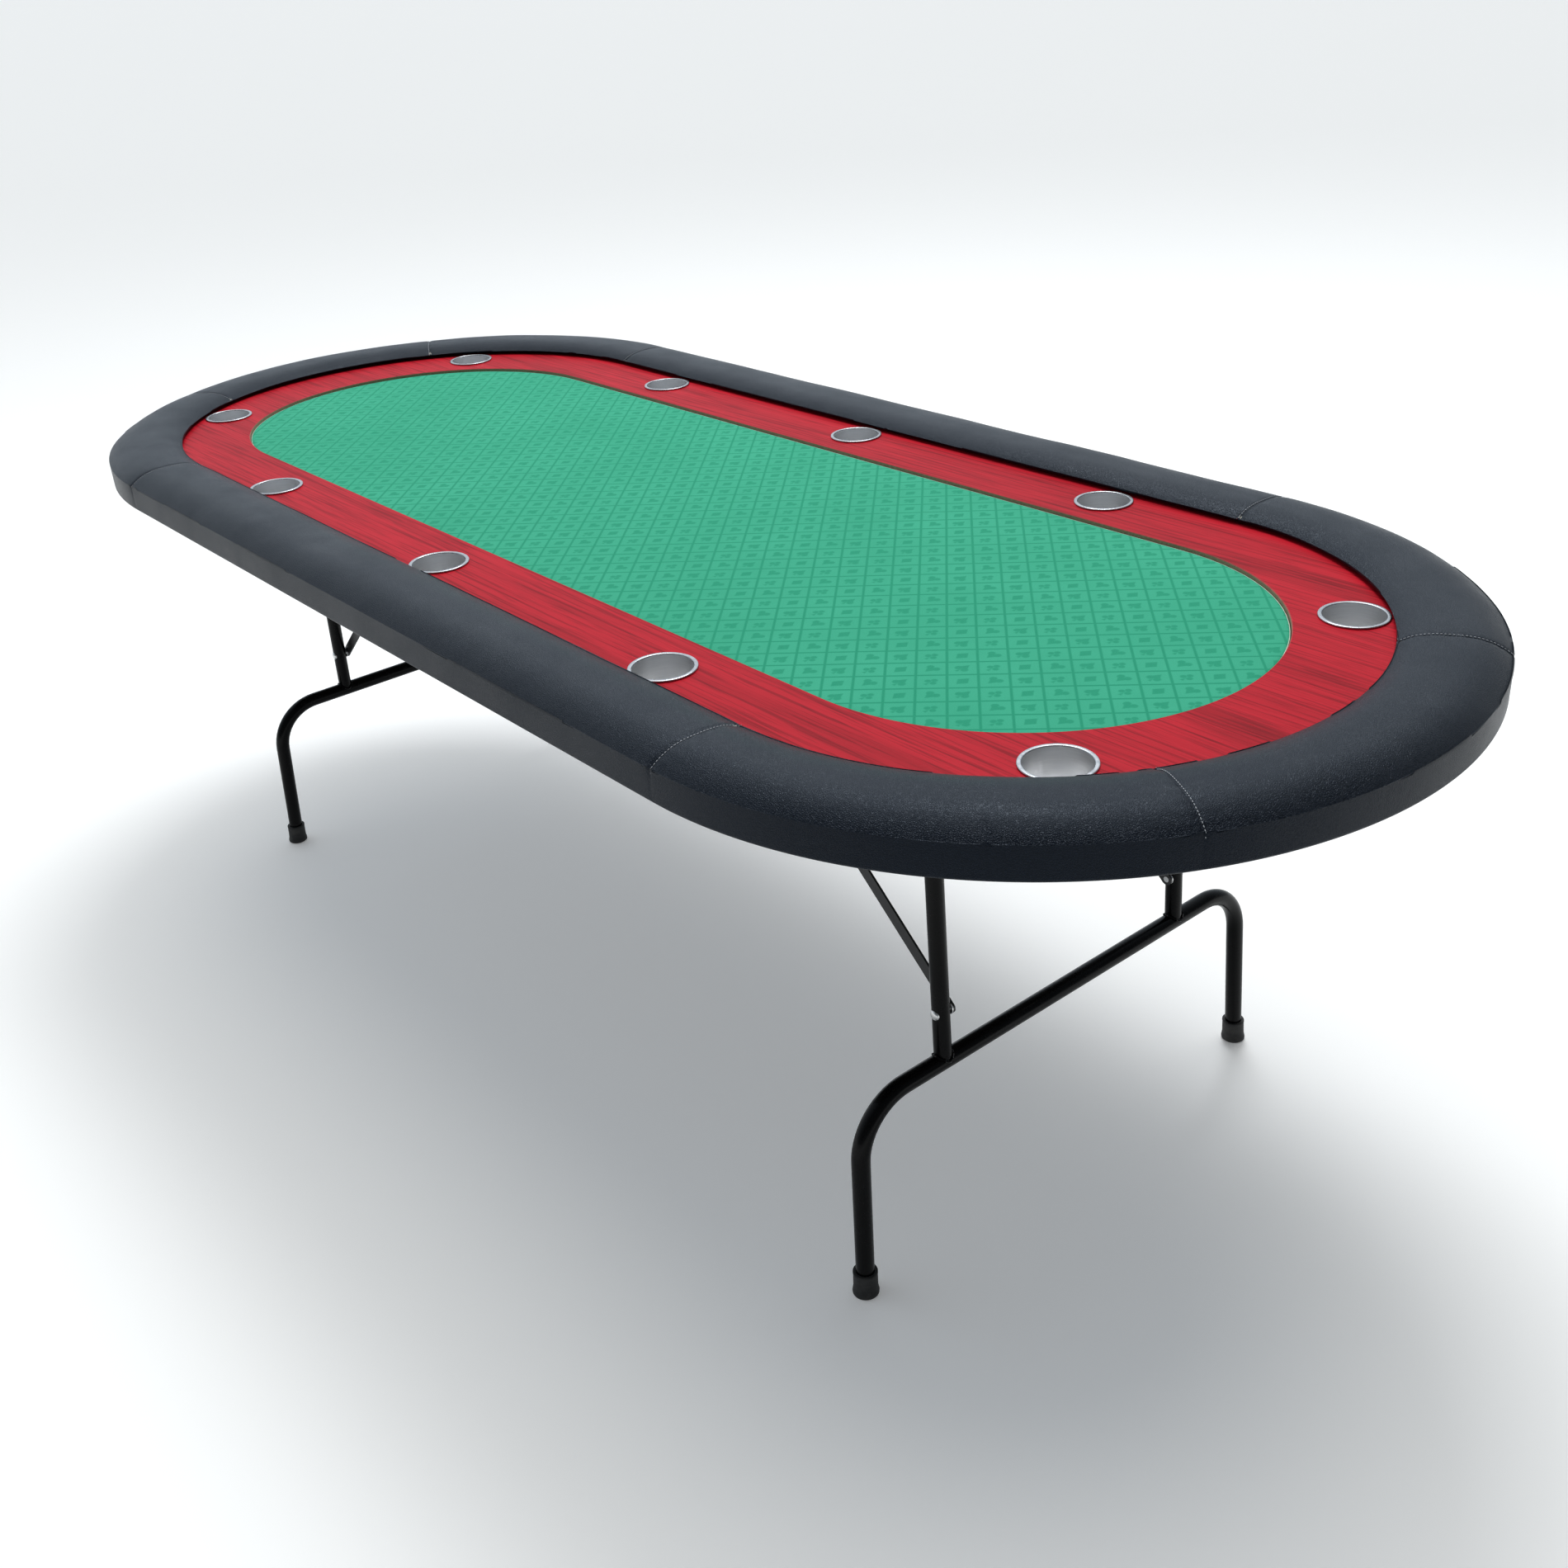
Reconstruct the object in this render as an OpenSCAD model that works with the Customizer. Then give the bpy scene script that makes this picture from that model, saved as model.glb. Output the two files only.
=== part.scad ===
// Oval folding card table: padded vinyl rail, wood-look racetrack with drop-in
// cup holders, inset cloth playfield, and two tube legs with jointed stays that
// fold flat under the deck. The floor is z = 0 and the table's middle is x = y = 0.
// "right" is +X, "front" is -Y.

/* [Top] */
// Overall length over the padded rail
table_length = 2438; // [2340:1:2560]
// Overall width over the padded rail
table_width = 1060; // [1040:1:1100]
// Height of the rail's crown above the floor
table_height = 763; // [740:1:790]
// Width of the inset playfield
cloth_width = 606; // [580:1:620]
// How far the rail's crown stands above the cloth
crown_above_cloth = 24; // [23:0.5:28]
// How far the racetrack stands above the cloth
track_step = 4; // [3:0.5:5]
// Thickness of the deck board
deck_thickness = 16; // [12:1:18]
// Thickness of the racetrack board with its laminate
track_thickness = 22; // [20:1:24]
// Thickness of the laminate on the racetrack
laminate_thickness = 1; // [0.6:0.1:1.2]
// Thickness of the foam under the cloth
cloth_foam = 5; // [3:0.5:6]
// Thickness of the cloth
cloth_thickness = 1; // [0.8:0.1:1.2]

/* [Rail] */
// Width of the rail from its side face to its inner nose
rail_width = 118; // [112:1:124]
// Overhang of the inner nose past the rail's foot
nose_overhang = 21; // [16:1:24]
// Height of the flat side face
side_height = 40; // [38:1:42]
// Thickness of the vinyl cover
vinyl_thickness = 1.5; // [1:0.1:1.8]
// Gap between the vinyl cover and the padded ring inside it
cover_slack = 0.3; // [0.2:0.1:0.5]
// Gap between the padded ring's strips, behind each seam
strip_gap = 0.5; // [0.4:0.1:1]
// Half angle of the middle cover piece on each end
seam_angle = 29.5; // [25:0.5:35]

/* [Cup holders] */
// Outside radius of a cup's body
cup_radius = 36; // [34:0.5:37]
// Radius of a cup's rolled rim
cup_rim_radius = 40; // [39:0.5:42]
// Depth of a cup's body below its rim
cup_depth = 68; // [50:1:75]
// Wall thickness of a cup
cup_wall = 1; // [0.8:0.1:1.2]
// Distance of the cups' row from the middle of the rail's ends and sides
cup_row = 373; // [368:1:378]
// Spacing of the cups along each side
side_cup_pitch = 500; // [460:5:540]
// Angle of the end cups from the table's long axis
end_cup_angle = 41.5; // [38:0.5:46]

/* [Legs] */
// Outside diameter of the bent leg tube and the hinge tube
tube_diameter = 23; // [22.5:0.1:25]
// Outside diameter of the uprights
upright_diameter = 22; // [20:0.1:22]
// Wall thickness of the tubes
tube_wall = 1.5; // [1:0.1:2]
// Distance of the feet from the table's middle along its length
foot_x = 782; // [760:1:790]
// Distance of the feet from the table's middle across its width
foot_y = 361; // [345:1:370]
// Height of the crossbar
crossbar_z = 264; // [240:1:290]
// Centreline radius of the leg's bends
bend_radius = 75; // [60:1:85]
// Distance of the uprights from the table's middle
upright_y = 215; // [205:1:220]
// Lean of a leg towards the table's middle, in degrees
leg_lean = 2.14; // [1:0.01:3]
// Outward splay of the foot tubes, in degrees
foot_splay = 2.25; // [1:0.05:3]
// Angle that a leg folds through, in degrees
fold_angle = 91.5; // [91:0.1:91.8]

/* [Stays] */
// Height of the stay's pivot on the upright
stay_pivot_z = 333; // [320:1:345]
// Distance of the stay's bracket from the table's middle
stay_bracket_x = 380; // [376:1:384]
// Width of a stay's flat bar
stay_width = 16; // [14:0.5:18]
// Thickness of a stay's flat bar
stay_thickness = 3; // [2.5:0.1:3]

/* [Hidden] */
$fn = 96;

// Levels
cloth_z = table_height - crown_above_cloth;
track_z = cloth_z + track_step;
deck_top = track_z - track_thickness;
deck_bottom = deck_top - deck_thickness;
rail_bottom = deck_bottom;
crease_z = rail_bottom + side_height;
nose_z = table_height - 13;
nose_under_z = nose_z - 3.2;

// Plan of the top: a rectangle with a half circle on each end
rail_radius = table_width / 2;
arc_x = table_length / 2 - rail_radius;
nose_radius = rail_radius - rail_width;
foot_radius = nose_radius + nose_overhang;
skirt_radius = rail_radius - 22;
crown_radius = rail_radius - rail_width / 2;
cloth_radius = cloth_width / 2;
deck_radius = skirt_radius - 0.5;
track_outer_radius = foot_radius - 0.5;
track_inner_radius = cloth_radius + 0.5;
track_bevel = 0.8;

// Shape of the padded crown
crown_steps = 32;
outer_power = 2.6;
inner_power = 3;
nose_round = 6;
corner_round = 5;
arc_steps = 6;

// Cup holders, numbered along the front, round the right end, along the back
cup_hole_radius = cup_radius + 1;
cup_fillet = 8;
cup_rim_height = 2.6;
cup_bottom_z = track_z - cup_depth;
cup_end_x = arc_x + cup_row * cos(end_cup_angle);
cup_end_y = cup_row * sin(end_cup_angle);
cup_centres = [
    [-side_cup_pitch, -cup_row],
    [0, -cup_row],
    [side_cup_pitch, -cup_row],
    [cup_end_x, -cup_end_y],
    [cup_end_x, cup_end_y],
    [side_cup_pitch, cup_row],
    [0, cup_row],
    [-side_cup_pitch, cup_row],
    [-cup_end_x, cup_end_y],
    [-cup_end_x, -cup_end_y]
];

// Bolts that hold the rail down on the deck
bolt_radius = 4;
bolt_circle = (foot_radius + skirt_radius) / 2;
bolt_head_radius = 6.5;
bolt_head_height = 5;
t_nut_radius = 10;
t_nut_flange = 1.5;
t_nut_barrel_radius = 5;
t_nut_barrel = 12;
bolt_reach = 36;
bolt_centres = concat(
    [for (x = [-600, -200, 200, 600], side = [-1, 1]) [x, side * bolt_circle]],
    [for (a = [-54, 0, 54], end = [-1, 1])
        [end * (arc_x + bolt_circle * cos(a)), bolt_circle * sin(a)]]
);

// Legs, worked out on the right-hand side
tube_radius = tube_diameter / 2;
bore_radius = tube_radius - tube_wall;
upright_radius = upright_diameter / 2;
pivot_z = deck_bottom - 17;
lean_run = tan(leg_lean);
pivot = [foot_x - pivot_z * lean_run, pivot_z];
crossbar_up = crossbar_z / cos(leg_lean);
pivot_up = pivot_z / cos(leg_lean);
stay_pivot_up = stay_pivot_z / cos(leg_lean);
bend_end_up = crossbar_up - bend_radius + bend_radius * sin(foot_splay);
bend_end_y = foot_y - bend_end_up * tan(foot_splay);
crossbar_half = bend_end_y - bend_radius * cos(foot_splay);
foot_tube_end = 5;
bend_swell = 0.2;
bend_lap = 1;
weld_gap = 0.05;
running_gap = 0.05;

// Foot caps
cap_radius = 15.5;
cap_flare = 1;
cap_height = 33;

// Pivot brackets
plate_thickness = 3;
pivot_bracket_y = 245;
pivot_bracket_width = 26;
pivot_bracket_length = 72;
saddle_radius = tube_radius + 3;
pivot_screw_x = 26;
hinge_tube_half = pivot_bracket_y + pivot_bracket_width / 2 + 4;

// Stays: distances across the table of each layer, outwards
stay_hole_radius = 4.05;
stay_pin_radius = 4;
rivet_head_radius = 6.5;
rivet_head_height = 1.8;
layer_gap = 0.2;
washer_space = 2.5;
lower_stay_y = upright_y - upright_radius - washer_space - stay_thickness;
upper_stay_y = lower_stay_y - layer_gap - stay_thickness;
ear_y = upper_stay_y - layer_gap - plate_thickness;
ear_radius = 9;
stay_bracket_width = 24;
stay_bracket_length = 44;
stay_screw_x = 14;
stay_screw_y = ear_y - 12;

// Where the stay's pivot on the upright lies at rest and with the leg folded
stay_low = [foot_x - stay_pivot_z * lean_run, stay_pivot_z];
stay_low_dx = stay_low[0] - pivot[0];
stay_low_dz = stay_low[1] - pivot[1];
stay_low_folded = [
    pivot[0] + stay_low_dx * cos(fold_angle) + stay_low_dz * sin(fold_angle),
    pivot[1] - stay_low_dx * sin(fold_angle) + stay_low_dz * cos(fold_angle)
];
stay_high = [stay_bracket_x, stay_low_folded[1]];

// Lengths that make the stay straight at rest and doubled back when folded
stay_span = norm(stay_low - stay_high);
stay_offset = norm(stay_low_folded - stay_high);
upper_stay_length = (stay_span + stay_offset) / 2;
knuckle = stay_high + (stay_low - stay_high) * upper_stay_length / stay_span;

// Wood screws under the deck
screw_radius = 2.2;
screw_head_radius = 4.5;
screw_head_height = 2.5;
screw_length = 12;
bracket_screw_centres = [
    for (sx = [-1, 1], sy = [-1, 1], step = [-1, 1], kind = [0, 1])
        kind == 0
            ? [sx * (pivot[0] + step * pivot_screw_x), sy * pivot_bracket_y]
            : [sx * (stay_bracket_x + step * stay_screw_x), sy * stay_screw_y]
];

// ---- Placing and basic shapes

// Turns a right-hand back corner's shape into any of the four corners.
module in_corner(sx, sy) {
    if (sx < 0 && sy < 0)
        rotate([0, 0, 180]) children();
    else if (sx < 0)
        mirror([1, 0, 0]) children();
    else if (sy < 0)
        mirror([0, 1, 0]) children();
    else
        children();
}

// Oval slab with half-round ends.
module oval(radius, z, height) {
    translate([-arc_x, -radius, z])
        cube([2 * arc_x, 2 * radius, height]);
    for (end = [-1, 1])
        translate([end * arc_x, 0, z])
            cylinder(r = radius, h = height);
}

module oval_ring(outer, inner, z, height) {
    difference() {
        oval(outer, z, height);
        oval(inner, z - 1, height + 2);
    }
}

// Round bars standing at a list of centres.
module pegs(centres, radius, z, height) {
    for (c = centres)
        translate([c[0], c[1], z])
            cylinder(r = radius, h = height);
}

// Round bar along Y at a point of the XZ plane.
module cross_bar(point, radius, y, length) {
    translate([point[0], y, point[1]])
        rotate([-90, 0, 0])
            cylinder(r = radius, h = length);
}

// ---- Rail section, as [distance from the arc's middle, height]

// Crown from the inner nose to the outer crease, drawn in by t.
function crown(t) = [
    for (i = [0:crown_steps])
        let (u = -cos(180 * i / crown_steps))
        u < 0
            ? [crown_radius + u * (rail_width / 2 - t),
               nose_z + (table_height - t - nose_z) * (1 - pow(-u, inner_power))]
            : [crown_radius + u * (rail_width / 2 - t),
               crease_z + (table_height - t - crease_z) * (1 - pow(u, outer_power))]
];

// Underside of the nose, from the foot to the nose's tip.
function nose(t) = [
    for (i = [0:arc_steps - 1])
        let (a = 270 - 90 * i / arc_steps)
        [nose_radius + nose_round + (nose_round - t) * cos(a),
         nose_z + (nose_z - nose_under_z - t) * sin(a)]
];

// Lower outer corner of the side face.
function corner(t) = [
    for (i = [0:arc_steps])
        let (a = -90 * i / arc_steps)
        [rail_radius - corner_round + (corner_round - t) * cos(a),
         rail_bottom + corner_round + (corner_round - t) * sin(a)]
];

// Whole section of the rail, drawn in by t where the vinyl covers it.
function rail_section(t) = concat(
    [[foot_radius + t, deck_top], [foot_radius + t, nose_under_z + t]],
    nose(t), crown(t), corner(t),
    [[skirt_radius, rail_bottom + t], [skirt_radius, deck_top]]
);

module rail_straight(t, extra) {
    rotate([90, 0, 90])
        translate([0, 0, -arc_x - extra])
            linear_extrude(height = 2 * (arc_x + extra))
                polygon(rail_section(t));
}

module rail_arc(t, start, sweep) {
    translate([arc_x, 0, 0])
        rotate([0, 0, start])
            rotate_extrude(angle = sweep)
                polygon(rail_section(t));
}

// Gaps between the ring's strips, one behind each seam of the covers.
module butt_joints() {
    for (end = [-1, 1]) {
        translate([end * arc_x - strip_gap / 2, -table_width / 2, 0])
            cube([strip_gap, table_width, table_height]);
        for (side = [-1, 1])
            in_corner(end, side)
                translate([arc_x, 0, 0])
                    rotate([0, 0, seam_angle])
                        translate([nose_radius - 10, -strip_gap / 2, 0])
                            cube([rail_width + 20, strip_gap, table_height]);
    }
}

// The padded ring inside the covers.
module rail_core() {
    inset = vinyl_thickness + cover_slack;
    difference() {
        union() {
            for (side = [-1, 1])
                in_corner(1, side)
                    rail_straight(inset, 0);
            for (end = [-1, 1])
                in_corner(end, 1)
                    rail_arc(inset, -90, 180);
        }
        butt_joints();
    }
}

module cover_straight() {
    color("#1b1c20")
        difference() {
            rail_straight(0, 0);
            rail_straight(vinyl_thickness, 1);
        }
}

module cover_arc(start, sweep) {
    color("#1b1c20")
        difference() {
            rail_arc(0, start, sweep);
            rail_arc(vinyl_thickness, start - 0.5, sweep + 1);
        }
}

// ---- Top

module deck_board() {
    color("#6b5a45")
        difference() {
            oval(deck_radius, deck_bottom, deck_thickness);
            pegs(cup_centres, cup_hole_radius, deck_bottom - 1, deck_thickness + 2);
            pegs(bolt_centres, bolt_radius + 0.2, deck_bottom - 1, deck_thickness + 2);
            pegs(bracket_screw_centres, screw_radius + 0.05, deck_bottom - 1, screw_length + 1);
        }
}

module racetrack_board() {
    color("#8d6a4c")
        difference() {
            oval_ring(track_outer_radius, track_inner_radius, deck_top,
                      track_thickness - laminate_thickness);
            pegs(cup_centres, cup_hole_radius, deck_top - 1, track_thickness + 2);
        }
}

// Its inner edge is bevelled, so the opening is a cone round the ends.
module racetrack_laminate() {
    low = track_z - laminate_thickness;
    color("#a11d2c")
        difference() {
            oval(track_outer_radius, low, laminate_thickness);
            oval(track_inner_radius, low - 1, laminate_thickness + 2);
            for (end = [-1, 1])
                translate([end * arc_x, 0, track_z - track_bevel])
                    cylinder(r1 = track_inner_radius, r2 = track_inner_radius + track_bevel + 1,
                             h = track_bevel + 1);
            pegs(cup_centres, cup_hole_radius, low - 1, laminate_thickness + 2);
        }
}

module playfield_board() {
    color("#b08a5e")
        oval(cloth_radius - cloth_thickness, deck_top,
             cloth_z - cloth_thickness - cloth_foam - deck_top);
}

module playfield_foam() {
    color("#d8d3c2")
        oval(cloth_radius - cloth_thickness, cloth_z - cloth_thickness - cloth_foam, cloth_foam);
}

// The cloth is pulled over the foam and down the board's edge.
module speed_cloth() {
    color("#56b895")
        difference() {
            oval(cloth_radius, deck_top, cloth_z - deck_top);
            oval(cloth_radius - cloth_thickness, deck_top - 1, cloth_z - cloth_thickness - deck_top + 1);
        }
}

// ---- Rail

module rail_frame() {
    color("#c09a6b")
        difference() {
            rail_core();
            translate([0, 0, track_z + 50])
                cube([table_length, table_width, 100], center = true);
            pegs(bolt_centres, t_nut_barrel_radius + 0.1, deck_top - 1, track_thickness + 2);
            pegs(bolt_centres, t_nut_radius + 0.1, track_z - t_nut_flange, t_nut_flange + 1);
        }
}

module rail_foam() {
    color("#e2dfd2")
        difference() {
            rail_core();
            translate([0, 0, track_z - 50])
                cube([table_length, table_width, 100], center = true);
        }
}

module rail_bolts() {
    color("silver") {
        pegs(bolt_centres, bolt_head_radius, deck_bottom - bolt_head_height, bolt_head_height);
        pegs(bolt_centres, bolt_radius, deck_bottom - 1, bolt_reach + 1);
    }
}

module rail_t_nuts() {
    low = track_z - t_nut_barrel;
    color("lightgrey")
        difference() {
            union() {
                pegs(bolt_centres, t_nut_barrel_radius, low, t_nut_barrel);
                pegs(bolt_centres, t_nut_radius, track_z - t_nut_flange, t_nut_flange);
            }
            pegs(bolt_centres, bolt_radius + running_gap, low - 1, t_nut_barrel + 2);
        }
}

// ---- Cup holders

function fillet(radius, cx, cz, from, to) = [
    for (i = [0:arc_steps])
        let (a = from + (to - from) * i / arc_steps)
        [cx + radius * cos(a), cz + radius * sin(a)]
];

// Half section of a cup: outside up to the rolled rim, then down the inside.
function cup_section() = let (
    inside = cup_radius - cup_wall,
    roll = cup_rim_height / 2,
    floor_z = cup_bottom_z + cup_wall
) concat(
    [[0, cup_bottom_z]],
    fillet(cup_fillet, cup_radius - cup_fillet, cup_bottom_z + cup_fillet, -90, 0),
    [[cup_radius, track_z]],
    fillet(roll, cup_rim_radius - roll, track_z + roll, -90, 90),
    fillet(roll, inside + roll, track_z + roll, 90, 180),
    fillet(cup_fillet - cup_wall, cup_radius - cup_fillet, cup_bottom_z + cup_fillet, 0, -90),
    [[0, floor_z]]
);

module cup_holder(number) {
    centre = cup_centres[number - 1];
    color("#c9cdd2")
        translate([centre[0], centre[1], 0])
            rotate_extrude()
                polygon(cup_section());
}

// ---- Brackets under the deck

module pivot_bracket(sx, sy) {
    low = deck_bottom - plate_thickness;
    side = pivot_bracket_y - pivot_bracket_width / 2;
    color("#303236")
        in_corner(sx, sy)
            difference() {
                union() {
                    translate([pivot[0] - pivot_bracket_length / 2, side, low])
                        cube([pivot_bracket_length, pivot_bracket_width, plate_thickness]);
                    cross_bar(pivot, saddle_radius, side, pivot_bracket_width);
                }
                cross_bar(pivot, tube_radius + running_gap, side - 1, pivot_bracket_width + 2);
                translate([0, 0, deck_bottom])
                    translate([pivot[0] - saddle_radius - 1, side - 1, 0])
                        cube([2 * saddle_radius + 2, pivot_bracket_width + 2, saddle_radius]);
                for (step = [-1, 1])
                    translate([pivot[0] + step * pivot_screw_x, pivot_bracket_y, low - 1])
                        cylinder(r = screw_radius + 0.2, h = plate_thickness + 2);
            }
}

module stay_bracket(sx, sy) {
    low = deck_bottom - plate_thickness;
    color("#303236")
        in_corner(sx, sy)
            difference() {
                union() {
                    translate([stay_bracket_x - stay_bracket_length / 2,
                               ear_y + plate_thickness - stay_bracket_width, low])
                        cube([stay_bracket_length, stay_bracket_width, plate_thickness]);
                    translate([stay_bracket_x - ear_radius, ear_y, stay_high[1]])
                        cube([2 * ear_radius, plate_thickness, deck_bottom - stay_high[1]]);
                    cross_bar(stay_high, ear_radius, ear_y, plate_thickness);
                }
                cross_bar(stay_high, stay_hole_radius, ear_y - 1, plate_thickness + 2);
                for (step = [-1, 1])
                    translate([stay_bracket_x + step * stay_screw_x, stay_screw_y, low - 1])
                        cylinder(r = screw_radius + 0.2, h = plate_thickness + 2);
            }
}

module bracket_screws() {
    plate_z = deck_bottom - plate_thickness;
    color("silver") {
        pegs(bracket_screw_centres, screw_head_radius, plate_z - screw_head_height, screw_head_height);
        pegs(bracket_screw_centres, screw_radius, plate_z - 1, screw_length);
    }
}

// Pins that carry the stays' upper ends, headed on both sides.
module stay_pins() {
    color("silver")
        for (sx = [-1, 1], sy = [-1, 1])
            in_corner(sx, sy) {
                cross_bar(stay_high, stay_pin_radius, ear_y - 1, upper_stay_y + stay_thickness - ear_y + 2);
                cross_bar(stay_high, rivet_head_radius, ear_y - rivet_head_height, rivet_head_height);
                cross_bar(stay_high, rivet_head_radius, upper_stay_y + stay_thickness + layer_gap,
                          rivet_head_height);
            }
}

// ---- Legs, built upright in the leg's own leaning plane

module leg_plane() {
    translate([foot_x, 0, 0])
        rotate([0, -leg_lean, 0])
            children();
}

// Crossbar, both bends and both foot tubes as one bent rod. The bends swell a
// little, as drawn tube does, and lap over the straight lengths.
module bow_rod(radius, past_end) {
    foot_length = bend_end_up / cos(foot_splay) - foot_tube_end + past_end;
    translate([0, 0, crossbar_up])
        rotate([90, 0, 0])
            cylinder(r = radius, h = 2 * (crossbar_half + bend_lap), center = true);
    for (side = [-1, 1])
        in_corner(1, side) {
            translate([0, crossbar_half, crossbar_up - bend_radius])
                rotate([90, 0, 90])
                    rotate([0, 0, foot_splay])
                        rotate_extrude(angle = 90 - foot_splay)
                            translate([bend_radius, 0])
                                circle(r = radius + bend_swell);
            translate([0, bend_end_y, bend_end_up])
                rotate([180 + foot_splay, 0, 0])
                    translate([0, 0, -bend_lap])
                        cylinder(r = radius, h = foot_length + bend_lap);
        }
}

module leg_bow(sx) {
    color("#141518")
        in_corner(sx, 1)
            leg_plane()
                difference() {
                    bow_rod(tube_radius, 0);
                    bow_rod(bore_radius, 1);
                }
}

module hinge_tube(sx) {
    start = -hinge_tube_half;
    length = 2 * hinge_tube_half;
    color("#141518")
        in_corner(sx, 1)
            difference() {
                cross_bar(pivot, tube_radius, start, length);
                cross_bar(pivot, bore_radius, start - 1, length + 2);
            }
}

// Both ends are coped to sit on the crossbar and under the hinge tube.
module upright(sx, sy) {
    color("#141518")
        in_corner(sx, sy)
            leg_plane()
                difference() {
                    translate([0, upright_y, crossbar_up])
                        cylinder(r = upright_radius, h = pivot_up - crossbar_up);
                    translate([0, upright_y, crossbar_up - 1])
                        cylinder(r = upright_radius - tube_wall, h = pivot_up - crossbar_up + 2);
                    for (up = [crossbar_up, pivot_up])
                        cross_bar([0, up], tube_radius + weld_gap,
                                  upright_y - 2 * tube_radius, 4 * tube_radius);
                    cross_bar([0, stay_pivot_up], stay_hole_radius,
                              upright_y - 2 * tube_radius, 4 * tube_radius);
                }
}

// Pushed over the tube's end; the sole is cut level with the floor.
module foot_cap(sx, sy) {
    color("#0e0e10")
        in_corner(sx, sy)
            difference() {
                leg_plane()
                    translate([0, foot_y, 0])
                        rotate([foot_splay, 0, 0])
                            difference() {
                                union() {
                                    translate([0, 0, -5])
                                        cylinder(r = cap_radius + cap_flare, h = 11);
                                    translate([0, 0, 6])
                                        cylinder(r1 = cap_radius + cap_flare, r2 = cap_radius, h = 4);
                                    translate([0, 0, 10])
                                        cylinder(r = cap_radius, h = cap_height - 12);
                                    translate([0, 0, cap_height - 2])
                                        cylinder(r1 = cap_radius, r2 = cap_radius - 1.5, h = 2);
                                }
                                translate([0, 0, foot_tube_end])
                                    cylinder(r = tube_radius, h = cap_height);
                            }
                translate([foot_x, foot_y, -50])
                    cube([200, 200, 100], center = true);
            }
}

// One rivet through each upright, with the washer that spaces the stay off.
module leg_rivets(sx) {
    outside = upright_y + upright_radius;
    washer_y = lower_stay_y + stay_thickness;
    washer_width = washer_space - running_gap;
    color("#c9cdd2")
        for (sy = [-1, 1])
            in_corner(sx, sy) {
                cross_bar(stay_low, stay_pin_radius, lower_stay_y, outside - lower_stay_y + 1);
                cross_bar(stay_low, rivet_head_radius, outside, rivet_head_height);
                difference() {
                    cross_bar(stay_low, rivet_head_radius + 1.5, washer_y, washer_width);
                    cross_bar(stay_low, stay_hole_radius, washer_y - 1, washer_width + 2);
                }
            }
}

// ---- Stays

// Flat bar with round ends between two points of the XZ plane.
module stay_bar(from, to, y) {
    run = to - from;
    translate([from[0], y, from[1]])
        rotate([0, -atan2(run[1], run[0]), 0])
            translate([0, 0, -stay_width / 2])
                cube([norm(run), stay_thickness, stay_width]);
    for (p = [from, to])
        cross_bar(p, stay_width / 2, y, stay_thickness);
}

// The lower bar turns on the upright's rivet; its knuckle stud is its own.
module stay_lower(sx, sy) {
    face = lower_stay_y + stay_thickness;
    color("#303236")
        in_corner(sx, sy)
            union() {
                difference() {
                    stay_bar(stay_low, knuckle, lower_stay_y);
                    cross_bar(stay_low, stay_hole_radius, lower_stay_y - 1, stay_thickness + 2);
                }
                cross_bar(knuckle, rivet_head_radius, face, rivet_head_height);
            }
}

// The upper bar turns on the bracket's pin and carries the other knuckle stud.
module stay_upper(sx, sy) {
    color("#303236")
        in_corner(sx, sy)
            union() {
                difference() {
                    stay_bar(stay_high, knuckle, upper_stay_y);
                    cross_bar(stay_high, stay_hole_radius, upper_stay_y - 1, stay_thickness + 2);
                }
                cross_bar(knuckle, rivet_head_radius, upper_stay_y - rivet_head_height, rivet_head_height);
            }
}

// ---- The table

deck_board();
racetrack_board();
racetrack_laminate();
playfield_board();
playfield_foam();
speed_cloth();
rail_frame();
rail_foam();
rail_bolts();
rail_t_nuts();
in_corner(1, -1) cover_straight();  // rail_cover_front
cover_straight();  // rail_cover_back
in_corner(1, -1) cover_arc(seam_angle, 90 - seam_angle);  // rail_cover_right_front
cover_arc(-seam_angle, 2 * seam_angle);  // rail_cover_right
cover_arc(seam_angle, 90 - seam_angle);  // rail_cover_right_back
in_corner(-1, -1) cover_arc(seam_angle, 90 - seam_angle);  // rail_cover_left_front
in_corner(-1, 1) cover_arc(-seam_angle, 2 * seam_angle);  // rail_cover_left
in_corner(-1, 1) cover_arc(seam_angle, 90 - seam_angle);  // rail_cover_left_back
cup_holder(1);  // cup_holder_1
cup_holder(2);  // cup_holder_2
cup_holder(3);  // cup_holder_3
cup_holder(4);  // cup_holder_4
cup_holder(5);  // cup_holder_5
cup_holder(6);  // cup_holder_6
cup_holder(7);  // cup_holder_7
cup_holder(8);  // cup_holder_8
cup_holder(9);  // cup_holder_9
cup_holder(10);  // cup_holder_10
pivot_bracket(1, -1);  // pivot_bracket_right_front
pivot_bracket(1, 1);  // pivot_bracket_right_back
pivot_bracket(-1, -1);  // pivot_bracket_left_front
pivot_bracket(-1, 1);  // pivot_bracket_left_back
stay_bracket(1, -1);  // stay_bracket_right_front
stay_bracket(1, 1);  // stay_bracket_right_back
stay_bracket(-1, -1);  // stay_bracket_left_front
stay_bracket(-1, 1);  // stay_bracket_left_back
bracket_screws();
stay_pins();
leg_bow(1);  // leg_bow_right
hinge_tube(1);  // hinge_tube_right
leg_rivets(1);  // leg_rivets_right
upright(1, -1);  // upright_right_front
upright(1, 1);  // upright_right_back
foot_cap(1, -1);  // foot_cap_right_front
foot_cap(1, 1);  // foot_cap_right_back
stay_lower(1, -1);  // stay_lower_right_front
stay_lower(1, 1);  // stay_lower_right_back
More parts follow.
